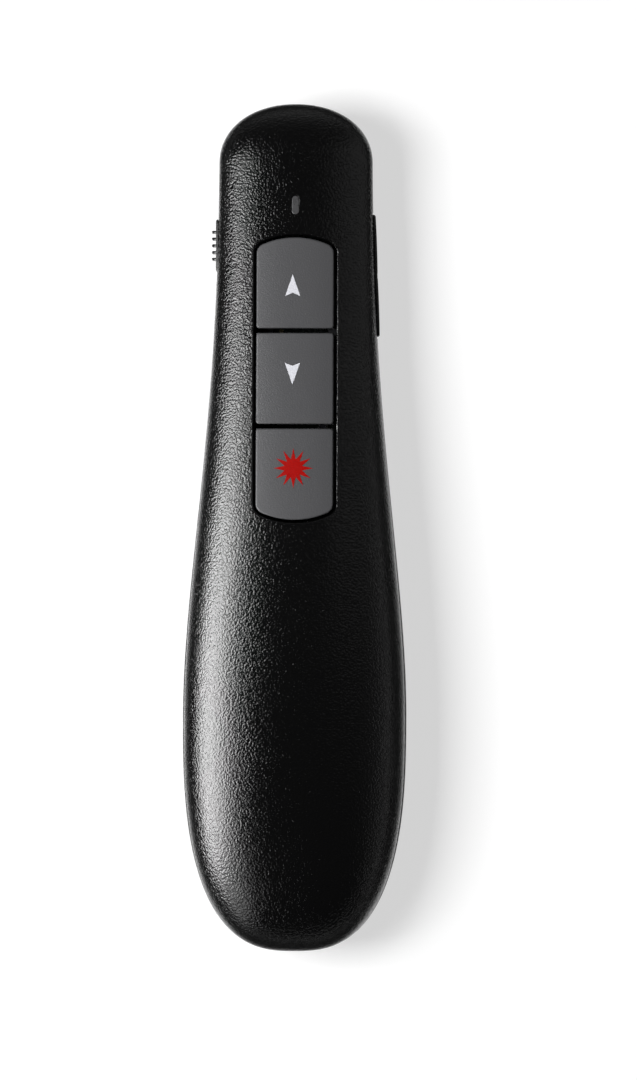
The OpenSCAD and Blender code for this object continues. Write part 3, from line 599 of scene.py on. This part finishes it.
def moulded_plastic(name, colour, rough, cells, depth, dusty=0.5, specular=0.5):
    """A moulded plastic with a fine texture, polished a little by hands, with some dust"""
    made, tree = new_material(name)
    texture = place_group(tree, grain, Cells=cells, Rough=rough)
    touch = place_group(tree, handling, Dust=dusty)
    pale = tuple(min(1, c * dust_lift + dust_base) for c in colour)
    colours = blend(tree, touch["Dust"], colour, pale)
    shine = join(tree, "MULTIPLY", touch["Polish"], -hand_polish)
    roughness = join(tree, "ADD", texture["Roughness"], shine)
    surface(tree, colours, roughness, texture["Height"], depth, Specular_IOR_Level=specular)
    return made


# The key strip's outline is made of arcs, so that it can be grown evenly for the well and its lip.
key_w = 11.6
key_len = 13.65
key_gap = 0.7
keys_front_y = nose_y - 20.3
keys_rear_y = keys_front_y - 3 * key_len - 2 * key_gap
key_arc = 12.3
key_corner = 1.5
well_gap = 0.4
well_lip = 0.34


def strip_end(front):
    """The three arcs of one end of the key strip, as (centre x, centre y, radius, from, to)"""
    way = 1 if front else -1
    arc_y = (keys_front_y if front else keys_rear_y) - way * key_arc
    x = key_w / 2 - key_corner
    y = way * math.sqrt((key_arc - key_corner) ** 2 - x * x)
    turn = math.atan2(abs(y), x)
    start = 0 if front else math.pi
    return [
        (way * x, arc_y + y, key_corner, start, start + turn),
        (0, arc_y, key_arc, start + turn, start + math.pi - turn),
        (-way * x, arc_y + y, key_corner, start + math.pi - turn, start + math.pi),
    ]


def pill_arcs(y, w, length):
    """A round-ended slot that runs along the middle"""
    reach = (length - w) / 2
    return [(0, y + reach, w / 2, 0, math.pi), (0, y - reach, w / 2, math.pi, 2 * math.pi)]


wide_arc = 5


def arc_ring(arcs, grow=0, arc_steps=9, side_steps=24):
    """Points along an outline of arcs joined by straight sides, grown outwards. A wide arc gets four
    times the points."""
    ring = []
    for i, (x, y, r, start, end) in enumerate(arcs):
        turns = np.linspace(start, end, arc_steps * (4 if r > wide_arc else 1))
        ring += [(x + (r + grow) * math.cos(a), y + (r + grow) * math.sin(a)) for a in turns]
        x, y, r, start, _ = arcs[(i + 1) % len(arcs)]
        ahead = (x + (r + grow) * math.cos(start), y + (r + grow) * math.sin(start))
        if math.dist(ring[-1], ahead) > 1:
            ring += [tuple(p) for p in np.linspace(ring[-1], ahead, side_steps)[1:-1]]
    return [p for k, p in enumerate(ring) if math.dist(p, ring[k - 1]) > 1e-6]


def ringed(name, rings, lid=None):
    """A closed solid from rings of equally many points. The lid is flat, or takes further points
    and faces that start from the last ring's."""
    count = len(rings[0])
    points = [p for ring in rings for p in ring]
    base = len(points) - count
    faces = [tuple(range(count - 1, -1, -1))]
    for k in range(len(rings) - 1):
        for i in range(count):
            j = (i + 1) % count
            faces.append((k * count + i, k * count + j, (k + 1) * count + j, (k + 1) * count + i))
    if lid is None:
        faces.append(tuple(range(base, base + count)))
    else:
        points += lid[0]
        faces += [tuple(base + i for i in face) for face in lid[1]]
    return make_object(name, points, faces)


lip_flare = 1.3
lip_over = 0.08


def lipped_cutter(arcs, low, lip):
    """What is cut from the upper shell for an opening, with a rounded lip along the surface"""
    rings = [[(x, y, low) for x, y in arc_ring(arcs)]]
    for turn in np.radians([0, 18, 36, 54, 72]):
        grown = arc_ring(arcs, lip * (1 - math.cos(turn)))
        rings.append([(x, y, float(top_z(x, y)) - lip * (1 - math.sin(turn))) for x, y in grown])
    outer = arc_ring(arcs, lip * lip_flare)
    rings.append([(x, y, float(top_z(x, y)) + lip_over) for x, y in outer])
    rings.append([(x, y, grip_h + 5) for x, y in outer])
    return ringed("opening", rings)


seam_gap = 0.12
seam_depth = 0.18
skin_depth = 0.9
inside_depth = 0.75
well_arcs = [(x, y, r + well_gap, a, b) for x, y, r, a, b in strip_end(True) + strip_end(False)]
led_y = nose_y - 15.45
light_w = 1.05
light_len = 2.8
light_fit = 0.05
light_lip = 0.1
side_h = 3.6
side_z = seam_z - 1.2
knob_y = nose_y - 21.35
knob_len = 7.9
knob_travel = 1.4
knob_fit = 0.1
knob_room = 0.15
knob_floor_x = float(half_w(knob_y)) - 0.02
stem_z = side_z + side_h / 2 - 0.8
stem_rear, stem_front, stem_half_h = 3.1, 1.7, 0.95
rocker_y = nose_y - 25.8
rocker_len = 18.4
rocker_t = 1.9
rocker_ends = [float(half_w(rocker_y + side * rocker_len / 2)) for side in (1, -1)]
rocker_slope = math.atan2(rocker_ends[1] - rocker_ends[0], rocker_len)
rocker_face_x = sum(rocker_ends) / 2 + 0.4
rocker_fit = 0.25
rocker_middle = Matrix.Translation(Vector((rocker_face_x, rocker_y, side_z)) * MM)
rocker_turn = Matrix.Rotation(rocker_slope, 4, "Z")
big = 150


def side_cuts():
    """The power knob's recess, the slot for its stem, and the rocker's slot, all in both shells"""
    half_h = side_h / 2 + knob_room
    recess = block((-knob_floor_x - 4, knob_y - knob_len / 2 - knob_travel - knob_fit, side_z - half_h),
                   (-knob_floor_x, knob_y + knob_len / 2 + knob_fit, side_z + half_h))
    stem = block((-knob_floor_x - 1, knob_y - stem_rear, stem_z - stem_half_h),
                 (-knob_floor_x + 3, knob_y + stem_front, stem_z + stem_half_h))
    half = Vector((rocker_t + 1, rocker_len / 2 + rocker_fit + 0.05, side_h / 2 + rocker_fit))
    slot = block(-half, half)
    slot.data.transform(rocker_middle @ rocker_turn)
    return cut(recess, stem, slot)


shell_black = (0.003, 0.003, 0.0031)
black_shell = moulded_plastic("black_shell", shell_black, rough=0.1, cells=3100, depth=0.039)

seam_groove = combine(block((-big, -big, seam_z - 1), (big, big, seam_z + seam_gap)),
                      *cut(body_loft("groove", seam_depth)))
light_arcs = [(x, y, r + light_fit, a, b) for x, y, r, a, b in pill_arcs(led_y, light_w, light_len)]
upper = combine(
    body_loft("upper"),
    *cut(body_loft("hollow", skin_depth), block((-big, -big, -big), (big, big, seam_z)), seam_groove),
    *cut(lipped_cutter(well_arcs, seam_z + 1, well_lip),
         lipped_cutter(light_arcs, seam_z + 1, light_lip)),
    *side_cuts(),
    ("UNION", kept_part("upper_shell", body_loft("core", inside_depth))),
)
dress(upper, "upper_shell_moulding", black_shell, "case", "upper_shell", skin=0)

door_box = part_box("battery_door")
door_front_y = door_box[1].y / MM
door_half_w = 11.4
door_top = 4.4
door_gap = 0.15
rail_low = door_top - 0.05
rail_high = 5.65
rail_in = 10.6
rail_out = 12.1
bay_rear_y = butt_y + 18
laser_z = seam_z - 2.4
port_d = 3.8
window_d = port_d + 0.9
window_y = nose_y - 1.3
receiver_w = 14.6
receiver_h = 6.2
receiver_z = seam_z - 1 - receiver_h / 2
pocket_half_w = receiver_w / 2 + 0.2
pocket_half_h = receiver_h / 2 + 0.2
screw_x, screw_y = neck_w / 2 - 4.4, nose_y - 11
screw_bore = 3.6


def door_opening():
    """Room for the battery door and its two rails"""
    end_y = door_front_y + door_gap
    half = door_half_w + door_gap
    cuts = [block((-half, butt_y - 1, -1), (half, end_y, door_top + door_gap))]
    for side in (-1, 1):
        low, high = sorted((side * (rail_in - door_gap), side * (rail_out + door_gap)))
        cuts.append(block((low, butt_y - 1, rail_low), (high, end_y, rail_high)))
    return cut(*cuts)


lower = combine(
    body_loft("lower"),
    *cut(body_loft("hollow", skin_depth)),
    ("INTERSECT", block((-big, -big, 0), (big, big, seam_z))),
    *door_opening(),
    *cut(rod((0, window_y - 1, laser_z), (0, nose_y + 1, laser_z), port_d),
         rod((0, window_y - 4, laser_z), (0, window_y, laser_z), window_d + 0.1),
         block((-pocket_half_w, butt_y - 1, receiver_z - pocket_half_h),
               (pocket_half_w, butt_y + 5, receiver_z + pocket_half_h)),
         *[rod((x, screw_y, -1), (x, screw_y, 9), screw_bore) for x in (-screw_x, screw_x)]),
    *side_cuts(),
    ("UNION", kept_part("lower_shell", body_loft("core", inside_depth))),
)
dress(lower, "lower_shell_moulding", black_shell, "case", "lower_shell", skin=0)


# ---- Battery door
# A sled in the same black ABS that closes the battery bay and carries on the belly's own surface.
# Two side rails hold it, and six grooves give the thumb a grip to push it off rearwards.
groove_pitch = 1.6
groove_w = 0.7
groove_half_len = 5
groove_depth = 0.4
groove_start = bay_rear_y + 8.3
grooves = []
for y in [groove_start + i * groove_pitch for i in range(6)]:
    low, high = y - groove_w / 2, y + groove_w / 2
    grooves.append(block((-groove_half_len, low, -1), (groove_half_len, high, groove_depth)))
door = combine(
    body_loft("door"),
    *cut(body_loft("hollow", skin_depth)),
    ("INTERSECT", block((-door_half_w, butt_y - 1, 0), (door_half_w, door_front_y, door_top))),
    ("UNION", kept_part("battery_door", body_loft("core", inside_depth))),
    *cut(*grooves),
)
dress(door, "battery_door_moulding", black_shell, "door", "battery_door", skin=0)


# ---- Case screws
# Four cross-recessed screws in blackened steel, driven from below: two in deep bores in the nose
# and two in the roof of the battery bay.
metal_shade = 0.72
blotch_cells = 240


def metal(name, colour, rough, streaks, spread=0.12, scratches=0.004):
    """A metal with fine streaks from its making, of so many cells to the metre along X, Y and Z"""
    made, tree = new_material(name)
    scale = tree.nodes.new("ShaderNodeVectorMath")
    scale.operation = "MULTIPLY"
    tree.links.new(frame_place(tree), scale.inputs[0])
    scale.inputs[1].default_value = streaks
    grainy = noise(tree, 1, 3, 0.6, scale.outputs[0])
    blotches = stretch(tree, noise(tree, blotch_cells), 0.35, 0.7)
    colours = blend(tree, blotches, colour, tuple(c * metal_shade for c in colour))
    roughness = uneven(tree, grainy, max(0.05, rough - spread), rough + spread)
    surface(tree, colours, roughness, grainy, scratches, Metallic=1.0)
    return made


def finish_nodes(material, *nodes):
    """Gives frame nodes that stay as they are a better material"""
    for node in nodes:
        for slot in frame["nodes"][node].material_slots:
            slot.material = material


finish_nodes(metal("blackened_steel", (0.09, 0.09, 0.095), 0.38, (2500, 2500, 500)), "case_screws")


# ---- Circuit board
# A black glass-fibre board on four pegs of the lower shell, with a radio chip in black epoxy, a
# crystal in a steel can, ceramic capacitors, resistors and an aerial etched in gilded copper.
edge_soft = 0.00002
bend_rate, bend_width, track_rate, route_cells, via_cells = 420, 0.0004, 7000, 170, 420


def band(tree, value, low, high):
    """1 where a value in metres lies between low and high millimetres, and 0 outside"""
    rise = stretch(tree, value, low * MM - edge_soft, low * MM + edge_soft)
    fall = stretch(tree, value, high * MM - edge_soft, high * MM + edge_soft, 1, 0)
    return join(tree, "MULTIPLY", rise, fall)


def solder_mask():
    """Black lacquer over etched tracks that run mostly lengthwise, with bare plated vias"""
    made, tree = new_material("solder_mask")
    bend = join(tree, "SINE", join(tree, "MULTIPLY", axis(tree, "Y"), bend_rate))
    bend = join(tree, "ADD", axis(tree, "X"), join(tree, "MULTIPLY", bend, bend_width))
    wave = join(tree, "SINE", join(tree, "MULTIPLY", bend, track_rate))
    routed = stretch(tree, noise(tree, route_cells, 1), 0.47, 0.5)
    tracks = join(tree, "MULTIPLY", stretch(tree, wave, 0.35, 0.55), routed)
    cells = tree.nodes.new("ShaderNodeTexVoronoi")
    cells.inputs["Scale"].default_value = via_cells
    tree.links.new(frame_place(tree), cells.inputs["Vector"])
    vias = stretch(tree, cells.outputs["Distance"], 0.1, 0.13, 1, 0)
    colours = blend(tree, tracks, (0.004, 0.005, 0.0045), (0.012, 0.014, 0.013))
    colours = blend(tree, vias, colours, (0.75, 0.62, 0.35))
    roughness = uneven(tree, noise(tree, 900), 0.2, 0.34)
    surface(tree, colours, roughness, join(tree, "ADD", tracks, vias), 0.03, Metallic=vias)
    return made


def tinned_chips(name, colour, middle_x, bare_half, rough):
    """A row of little blocks along Y with tinned ends to the left and right"""
    made, tree = new_material(name)
    body = band(tree, axis(tree, "X"), middle_x - bare_half, middle_x + bare_half)
    mottled = blend(tree, noise(tree, 2600), colour, tuple(c * 0.7 for c in colour))
    colours = blend(tree, body, (0.68, 0.68, 0.66), mottled)
    grainy = noise(tree, 6000)
    roughness = uneven(tree, grainy, rough - 0.08, rough + 0.1)
    metallic = join(tree, "SUBTRACT", 1, body)
    surface(tree, colours, roughness, grainy, 0.02, Metallic=metallic)
    return made


def middle_x(node):
    low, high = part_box(node)
    return (low.x + high.x) / 2 / MM


black_board = solder_mask()
nickel = metal("nickel_plate", (0.62, 0.6, 0.56), 0.26, (700, 2600, 700))
gilded = metal("gilded_copper", (0.83, 0.56, 0.28), 0.28, (1600, 1600, 1600))
epoxy = moulded_plastic("chip_epoxy", (0.02, 0.02, 0.022), rough=0.48, cells=9000, depth=0.01)
ceramic = tinned_chips("fired_ceramic", (0.42, 0.28, 0.16), middle_x("capacitors"), 0.5, 0.5)
glaze = tinned_chips("glazed_resistor", (0.02, 0.02, 0.025), middle_x("resistors"), 0.52, 0.24)
finish_nodes(black_board, "main_board")
finish_nodes(epoxy, "radio_chip")
finish_nodes(metal("crystal_can", (0.66, 0.66, 0.64), 0.3, (3000, 300, 3000)), "crystal")
finish_nodes(ceramic, "capacitors")
finish_nodes(glaze, "resistors")
finish_nodes(gilded, "antenna")


# ---- Switches
# Five tact switches and a slide switch soldered to the board: black moulded bases under folded
# tinned-steel covers, with pale nylon plungers that spring back by 0.5 mm.
base_black = (0.025, 0.025, 0.027)
black_base = moulded_plastic("switch_base_plastic", base_black, rough=0.42, cells=5000, depth=0.012)
nylon = moulded_plastic("nylon", (0.5, 0.49, 0.44), rough=0.36, cells=2400, depth=0.01, dusty=0.2)
tinned_steel = metal("tinned_steel", (0.6, 0.6, 0.58), 0.3, (400, 2800, 2800))
finish_nodes(black_base, "page_up_switch", "page_down_switch", "laser_switch",
             "volume_up_switch", "volume_down_switch")
finish_nodes(nylon, "page_up_plunger", "page_down_plunger", "laser_plunger",
             "volume_plungers", "power_lever")
finish_nodes(tinned_steel, "switch_covers", "power_switch")


# ---- Keys
# Three gray ABS caps in one well, flush with the shell and crowned like it. Flanges under the
# shell hold each one in, and it floats on its switch. Their marks are pad printed.
key_proud = 0.25
key_inner_corner = 0.45
key_fillet = 0.3
key_skin = 1.3
key_nodes = ("page_up_key", "page_down_key", "laser_key")


def key_arcs(i):
    """Outline of one key: its own share of the strip, with small corners where it meets the next"""
    front_y = keys_front_y - i * (key_len + key_gap)
    rear_y = front_y - key_len
    x, r = key_w / 2 - key_inner_corner, key_inner_corner
    ahead = [(x, front_y - r, r, 0, math.pi / 2), (-x, front_y - r, r, math.pi / 2, math.pi)]
    behind = [(-x, rear_y + r, r, math.pi, 1.5 * math.pi),
              (x, rear_y + r, r, 1.5 * math.pi, 2 * math.pi)]
    return (strip_end(True) if i == 0 else ahead) + (strip_end(False) if i == 2 else behind)


def lid_inside(ring, height, spacing):
    """Points and faces that fill a ring with a curved lid, for ringed"""
    flat = [Vector(p[:2]) for p in ring]
    low = np.min(flat, axis=0)
    high = np.max(flat, axis=0)
    loop = [(k, (k + 1) % len(flat)) for k in range(len(flat))]
    ends = [(flat[k], flat[j]) for k, j in loop]
    inside = []
    for x in np.arange(low[0] + spacing / 2, high[0], spacing):
        for y in np.arange(low[1] + spacing / 2, high[1], spacing):
            crossed = sum(x < a.x + (b.x - a.x) * (y - a.y) / (b.y - a.y)
                          for a, b in ends if (a.y > y) != (b.y > y))
            if crossed % 2 and min((Vector((x, y)) - a).length for a in flat) > spacing * 0.45:
                inside.append(Vector((x, y)))
    points, _, faces, *_ = delaunay_2d_cdt(flat + inside, loop, [], 1, 1e-7)
    added = [(p.x, p.y, float(height(p.x, p.y))) for p in points[len(flat):]]
    turned = []
    for face in faces:
        a, b, c = (points[i] for i in face[:3])
        turned.append(tuple(face) if (b - a).cross(c - a) > 0 else tuple(reversed(face)))
    return added, turned


def crowned(name, arcs, height, low, fillet, spacing=0.8):
    """A prism over an outline of arcs, with a curved top and a rounded edge around it"""
    rings = [[(x, y, low) for x, y in arc_ring(arcs)]]
    for turn in np.radians([0, 15, 30, 45, 60, 75, 90]):
        drawn_in = arc_ring(arcs, -fillet * (1 - math.cos(turn)))
        rings.append([(x, y, float(height(x, y)) - fillet * (1 - math.sin(turn))) for x, y in drawn_in])
    return ringed(name, rings, lid_inside(rings[-1], height, spacing))


def key_height(x, y):
    return top_z(x, y) + key_proud


ink_step = 0.3
ink_root, ink_taper, ink_depth = -0.06, -0.015, 0.035


def printed(name, outline, ink, body):
    """A printed mark: a skin of ink on a key, drawn in a little at its top"""
    ring = []
    for k, start in enumerate(outline):
        end = outline[(k + 1) % len(outline)]
        steps = max(1, math.ceil(math.dist(start, end) / ink_step))
        ring += [tuple(p) for p in np.linspace(start, end, steps + 1)[:-1]]
    middle = np.mean(ring, axis=0)
    rings = []
    for level, grow in ((ink_root, 0), (ink_depth * 0.6, 0), (ink_depth, ink_taper)):
        out = [np.array(p) - middle for p in ring]
        drawn = [p + grow * way / np.linalg.norm(way) for p, way in zip(ring, out)]
        rings.append([(x, y, float(key_height(x, y)) + level) for x, y in drawn])
    made = ringed(name, rings, lid_inside(rings[-1], lambda x, y: key_height(x, y) + ink_depth, 0.5))
    dress(made, name, ink, body)


gray_key = moulded_plastic("key_plastic", (0.086, 0.086, 0.09), rough=0.5, cells=4600, depth=0.014,
                           dusty=0.35, specular=0.34)
for i, node in enumerate(key_nodes):
    roof = float(key_height(key_w / 2, keys_front_y - i * (key_len + key_gap))) - key_skin
    key = combine(crowned(node, key_arcs(i), key_height, roof, key_fillet),
                  ("UNION", kept_part(node, block((-big, -big, -big), (big, big, roof + 0.1)))))
    dress(key, node + "_cap", gray_key, frame["nodes"][node]["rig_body"], node, skin=key_proud)


def printing_ink(name, colour):
    """A dull ink that lies a little thinner in spots"""
    made, tree = new_material(name)
    mottle = noise(tree, 5200)
    thin = tuple(c * 0.8 for c in colour)
    colours = blend(tree, stretch(tree, mottle, 0.35, 0.65), thin, colour)
    roughness = uneven(tree, mottle, 0.42, 0.6)
    surface(tree, colours, roughness, mottle, 0.008, Specular_IOR_Level=0.2)
    return made


arrow_x = -0.36
up_tip, up_notch, up_base = 37.95, 35.19, 34.66
down_top, down_notch, down_tip = 24.65, 24.21, 21.37
arrow_half_w = 1.14
star_x, star_y = -0.17, 8.86
star_out, star_in = 2.99, 1.37
star_points = 12
white_ink = printing_ink("white_ink", (0.84, 0.845, 0.9))
red_ink = printing_ink("red_ink", (0.42, 0.0025, 0.001))
left_x, right_x = arrow_x - arrow_half_w, arrow_x + arrow_half_w
up_arrow = [(arrow_x, up_tip), (left_x, up_base), (arrow_x, up_notch), (right_x, up_base)]
down_arrow = [(left_x, down_top), (arrow_x, down_tip), (right_x, down_top), (arrow_x, down_notch)]
printed("up_arrow", up_arrow, white_ink, "page_up")
printed("down_arrow", down_arrow, white_ink, "page_down")
star = []
for k in range(2 * star_points):
    a = math.pi / 2 + math.pi * k / star_points
    reach = star_in if k % 2 else star_out
    star.append((star_x + reach * math.cos(a), star_y + reach * math.sin(a)))
printed("laser_star", star, red_ink, "laser_button")


# ---- Power slide
# A small black knob in a recess on the left side, with five ribs for the thumb. It is snapped
# through a slot onto a carrier that takes the slide switch's lever along.
knob_in_x = knob_floor_x + 0.08
knob_out_x = float(half_w(knob_y)) + 0.28
knob_fillet = 0.3
knob_corner = 0.35
rib_pitch = 1.02
rib_w = 0.42
rib_h = side_h - 0.4
rib_out = 0.6
rib_root = 0.15


def plate_arcs(u, v, w, h, r):
    """A rounded rectangle about a centre"""
    u_in, v_in = w / 2 - r, h / 2 - r
    return [(u + su * u_in, v + sv * v_in, r, start, start + math.pi / 2) for su, sv, start in
            ((1, 1, 0), (-1, 1, math.pi / 2), (-1, -1, math.pi), (1, -1, 1.5 * math.pi))]


def seat(made, right, up, out):
    """Turns a piece built flat so that its own X, Y and Z point along right, up and out"""
    made.data.transform(Matrix((right, up, out)).transposed().to_4x4())


plate = crowned("knob_plate", plate_arcs(-knob_y, side_z, knob_len, side_h, knob_corner),
                lambda u, v: knob_out_x, knob_in_x, knob_fillet)
for k in range(-2, 3):
    rib = crowned("rib", plate_arcs(-knob_y + k * rib_pitch, side_z, rib_w, rib_h, rib_w / 2 - 0.01),
                  lambda u, v: knob_out_x + rib_out, knob_out_x - rib_root, rib_w / 2 - 0.03)
    combine(plate, ("UNION", rib))
seat(plate, (0, -1, 0), (0, 0, 1), (-1, 0, 0))
satin_black = moulded_plastic("satin_black", shell_black, rough=0.24, cells=3600, depth=0.006)
combine(plate, ("UNION", kept_part("power_knob", block((-knob_in_x - 0.01, -big, 0), (0, big, big)))))
dress(plate, "power_knob_cap", satin_black, "power_slide", "power_knob")


# ---- Volume rocker
# One black moulding on the right side that rocks on a steel pin between the shells. Its two
# pads meet at a shallow notch over the pin, and each pushes one switch's plunger.
pad_notch = 0.32
pad_notch_w = 0.42
pad_crown = 0.05
pad_fillet = 0.35
pad_corner = 0.45


def pad_height(u, v):
    """Height of the rocker's face over its back, along it and across it"""
    notch = pad_notch * max(0, 1 - abs(u) / pad_notch_w)
    half = rocker_len / 2
    crown = pad_crown * (1 - (abs(u) - half / 2) ** 2 / (half / 2) ** 2)
    return rocker_t + crown - pad_crown - notch


pads = crowned("rocker_pads", plate_arcs(0, 0, rocker_len, side_h, pad_corner), pad_height, 0,
               pad_fillet, 0.3)
seat(pads, (0, 1, 0), (0, 0, 1), (1, 0, 0))
pads.data.transform(rocker_turn @ Matrix.Translation(Vector((-rocker_t, 0, 0)) * MM))
pads.data.transform(rocker_middle)
behind = block((-big, -big, -big), (-rocker_t + 0.05, big, big))
behind.data.transform(rocker_middle @ rocker_turn)
combine(pads, ("UNION", kept_part("volume_rocker", behind)))
dress(pads, "volume_rocker_pads", satin_black, "volume", "volume_rocker")
finish_nodes(metal("pin_steel", (0.6, 0.6, 0.6), 0.18, (500, 500, 3200)), "rocker_pin")


# ---- Status light
# A small light on the board shines up through a smoked acrylic pill that is pressed into the
# shell from inside and stands level with its surface.
def from_middle(tree, across, up):
    """The distance that two steps at right angles make"""
    squares = [join(tree, "POWER", step, 2) for step in (across, up)]
    return join(tree, "SQRT", join(tree, "ADD", *squares))


def lit_cap():
    """Clear resin over a pale yellow dot of phosphor"""
    made, tree = new_material("clear_cap")
    reach = from_middle(tree, axis(tree, "X"), join(tree, "SUBTRACT", axis(tree, "Y"), led_y * MM))
    dot = stretch(tree, reach, 0.00026, 0.0003, 1, 0)
    colours = blend(tree, dot, (0.78, 0.78, 0.74), (0.85, 0.72, 0.2))
    cloudy = noise(tree, 2400)
    surface(tree, colours, uneven(tree, cloudy, 0.12, 0.24), cloudy, 0.01)
    return made


def smoked_acrylic():
    """Dark clear plastic, a little cloudy"""
    made, tree = new_material("smoked_acrylic")
    cloudy = noise(tree, 1600)
    colours = blend(tree, cloudy, (0.062, 0.062, 0.064), (0.08, 0.08, 0.083))
    surface(tree, colours, uneven(tree, cloudy, 0.22, 0.34), cloudy, 0.006)
    return made


finish_nodes(lit_cap(), "status_led")
pipe_top = float(top_z(0, led_y)) - 1
pipe = combine(crowned("light_pill", pill_arcs(led_y, light_w, light_len), top_z, pipe_top, 0.1, 0.3),
               ("UNION", kept_part("light_pipe", block((-big, -big, 0), (big, big, pipe_top + 0.1)))))
dress(pipe, "light_pipe_pill", smoked_acrylic(), "case", "light_pipe")


# ---- Laser
# A turned brass barrel with a lens and a small diode, cradled in the nose behind a tinted
# window. Two insulated leads run back from its little board to the main one.
def tinted(name, colour, ior, rough):
    """A clear plastic or glass of some tint"""
    made, tree = new_material(name)
    faint = noise(tree, 1800)
    roughness = uneven(tree, faint, rough, rough + 0.06)
    surface(tree, colour, roughness, faint, 0.002, Transmission_Weight=1.0, IOR=ior)
    return made


def insulation():
    """Red over the right-hand lead and black over the left"""
    made, tree = new_material("lead_insulation")
    right_side = band(tree, axis(tree, "X"), 0, 100)
    colours = blend(tree, right_side, (0.012, 0.012, 0.012), (0.45, 0.015, 0.012))
    dull = noise(tree, 2600, 3)
    surface(tree, colours, uneven(tree, dull, 0.34, 0.52), dull, 0.012)
    return made


finish_nodes(tinted("tinted_window", (0.5, 0.03, 0.04), 1.49, 0.03), "laser_window")
finish_nodes(tinted("clear_lens", (0.94, 0.97, 0.98), 1.5, 0.01), "laser_lens")
finish_nodes(metal("turned_brass", (0.78, 0.56, 0.24), 0.26, (400, 6500, 400)), "laser_barrel")
finish_nodes(metal("diode_can", (0.8, 0.6, 0.32), 0.22, (2500, 700, 2500)), "laser_diode")
finish_nodes(black_board, "laser_board")
finish_nodes(insulation(), "laser_wires")


# ---- Cells and contacts
# Two AAA cells lie head to tail in plain printed sleeves. A link plate joins them at the rear,
# and two plates reach over the bay's front wall onto the board. Springs press on the flat ends.
cell_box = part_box("battery_left")
cell_d = (cell_box[1].z - cell_box[0].z) / MM
cell_z = (cell_box[1].z + cell_box[0].z) / 2 / MM
sleeve_green = (0.018, 0.12, 0.07)
sleeve_band = (0.5, 0.36, 0.12)
bare_end = (0.66, 0.65, 0.62)
scuffed = (0.3, 0.3, 0.28)
wide_band = (0.8, 9)
thin_band = (9.6, 10)
end_from, end_to = cell_d / 2 - 0.75, cell_d / 2 - 0.65


def sleeved_cell(name, x, front, way):
    """A printed film with a wide and a thin band near the raised end, and bare nickelled ends"""
    made, tree = new_material(name)
    across = join(tree, "SUBTRACT", axis(tree, "X"), x * MM)
    reach = from_middle(tree, across, join(tree, "SUBTRACT", axis(tree, "Z"), cell_z * MM))
    end = stretch(tree, reach, end_from * MM, end_to * MM, 1, 0)
    bands = [band(tree, axis(tree, "Y"), *sorted(front - way * edge for edge in edges))
             for edges in (wide_band, thin_band)]
    colours = blend(tree, join(tree, "MAXIMUM", *bands), sleeve_green, sleeve_band)
    scuffs = stretch(tree, noise(tree, 700, 4, 0.7), 0.62, 0.7)
    colours = blend(tree, join(tree, "MULTIPLY", scuffs, 0.3), colours, scuffed)
    colours = blend(tree, end, colours, bare_end)
    roughness = uneven(tree, noise(tree, 1500), 0.2, 0.32)
    surface(tree, colours, roughness, scuffs, 0.004, Metallic=end)
    return made


left_front = cell_box[1].y / MM
right_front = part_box("battery_right")[0].y / MM
finish_nodes(sleeved_cell("left_sleeve", middle_x("battery_left"), left_front, 1), "battery_left")
finish_nodes(sleeved_cell("right_sleeve", middle_x("battery_right"), right_front, -1), "battery_right")
spring_steel = metal("spring_wire", (0.66, 0.65, 0.63), 0.16, (1800, 1800, 1800))
finish_nodes(nickel, "link_contact", "positive_contact", "negative_contact")
finish_nodes(spring_steel, "link_spring", "negative_spring")


# ---- Receiver
# A plug-in receiver, stowed in a pocket in the butt. Its black cap has a notch for a
# fingernail, and its folded steel plug goes into the pocket with the contacts inside.
cap_inset = 0.15
cap_fillet = 0.3
cap_front_y = butt_y + 4.8
notch_half_w, notch_half_h, notch_depth = 4, 0.5, 1.3
hollow_half_w, hollow_half_h, hollow_depth = 6, 2.25, 2.2


def butt_out(x, z):
    """How far the rounded butt reaches behind the middle at a point across and up"""
    low, high = 30, -butt_y
    for _ in range(40):
        middle = (low + high) / 2
        low, high = (middle, high) if body_field(x, -middle, z) < 1 else (low, middle)
    return low - cap_inset


cap = crowned("receiver_cap_outer", plate_arcs(0, receiver_z, receiver_w, receiver_h, 0.6), butt_out,
              -cap_front_y - 0.5, cap_fillet, 0.6)
seat(cap, (1, 0, 0), (0, 0, 1), (0, -1, 0))
notch = block((-notch_half_w, butt_y - 1, receiver_z - notch_half_h),
              (notch_half_w, butt_y + notch_depth, receiver_z + notch_half_h))
hollow = block((-hollow_half_w, cap_front_y - hollow_depth, receiver_z - hollow_half_h),
               (hollow_half_w, cap_front_y + 1, receiver_z + hollow_half_h))
combine(cap, *cut(notch, hollow))
dress(cap, "receiver_cap_moulding", satin_black, "receiver", "receiver_cap")
finish_nodes(metal("plug_steel", (0.68, 0.68, 0.68), 0.24, (400, 3200, 3200)), "receiver_plug")
tongue = moulded_plastic("tongue_plastic", (0.02, 0.02, 0.022), rough=0.4, cells=5200, depth=0.008)
finish_nodes(tongue, "receiver_tongue")
finish_nodes(gilded, "receiver_contacts")
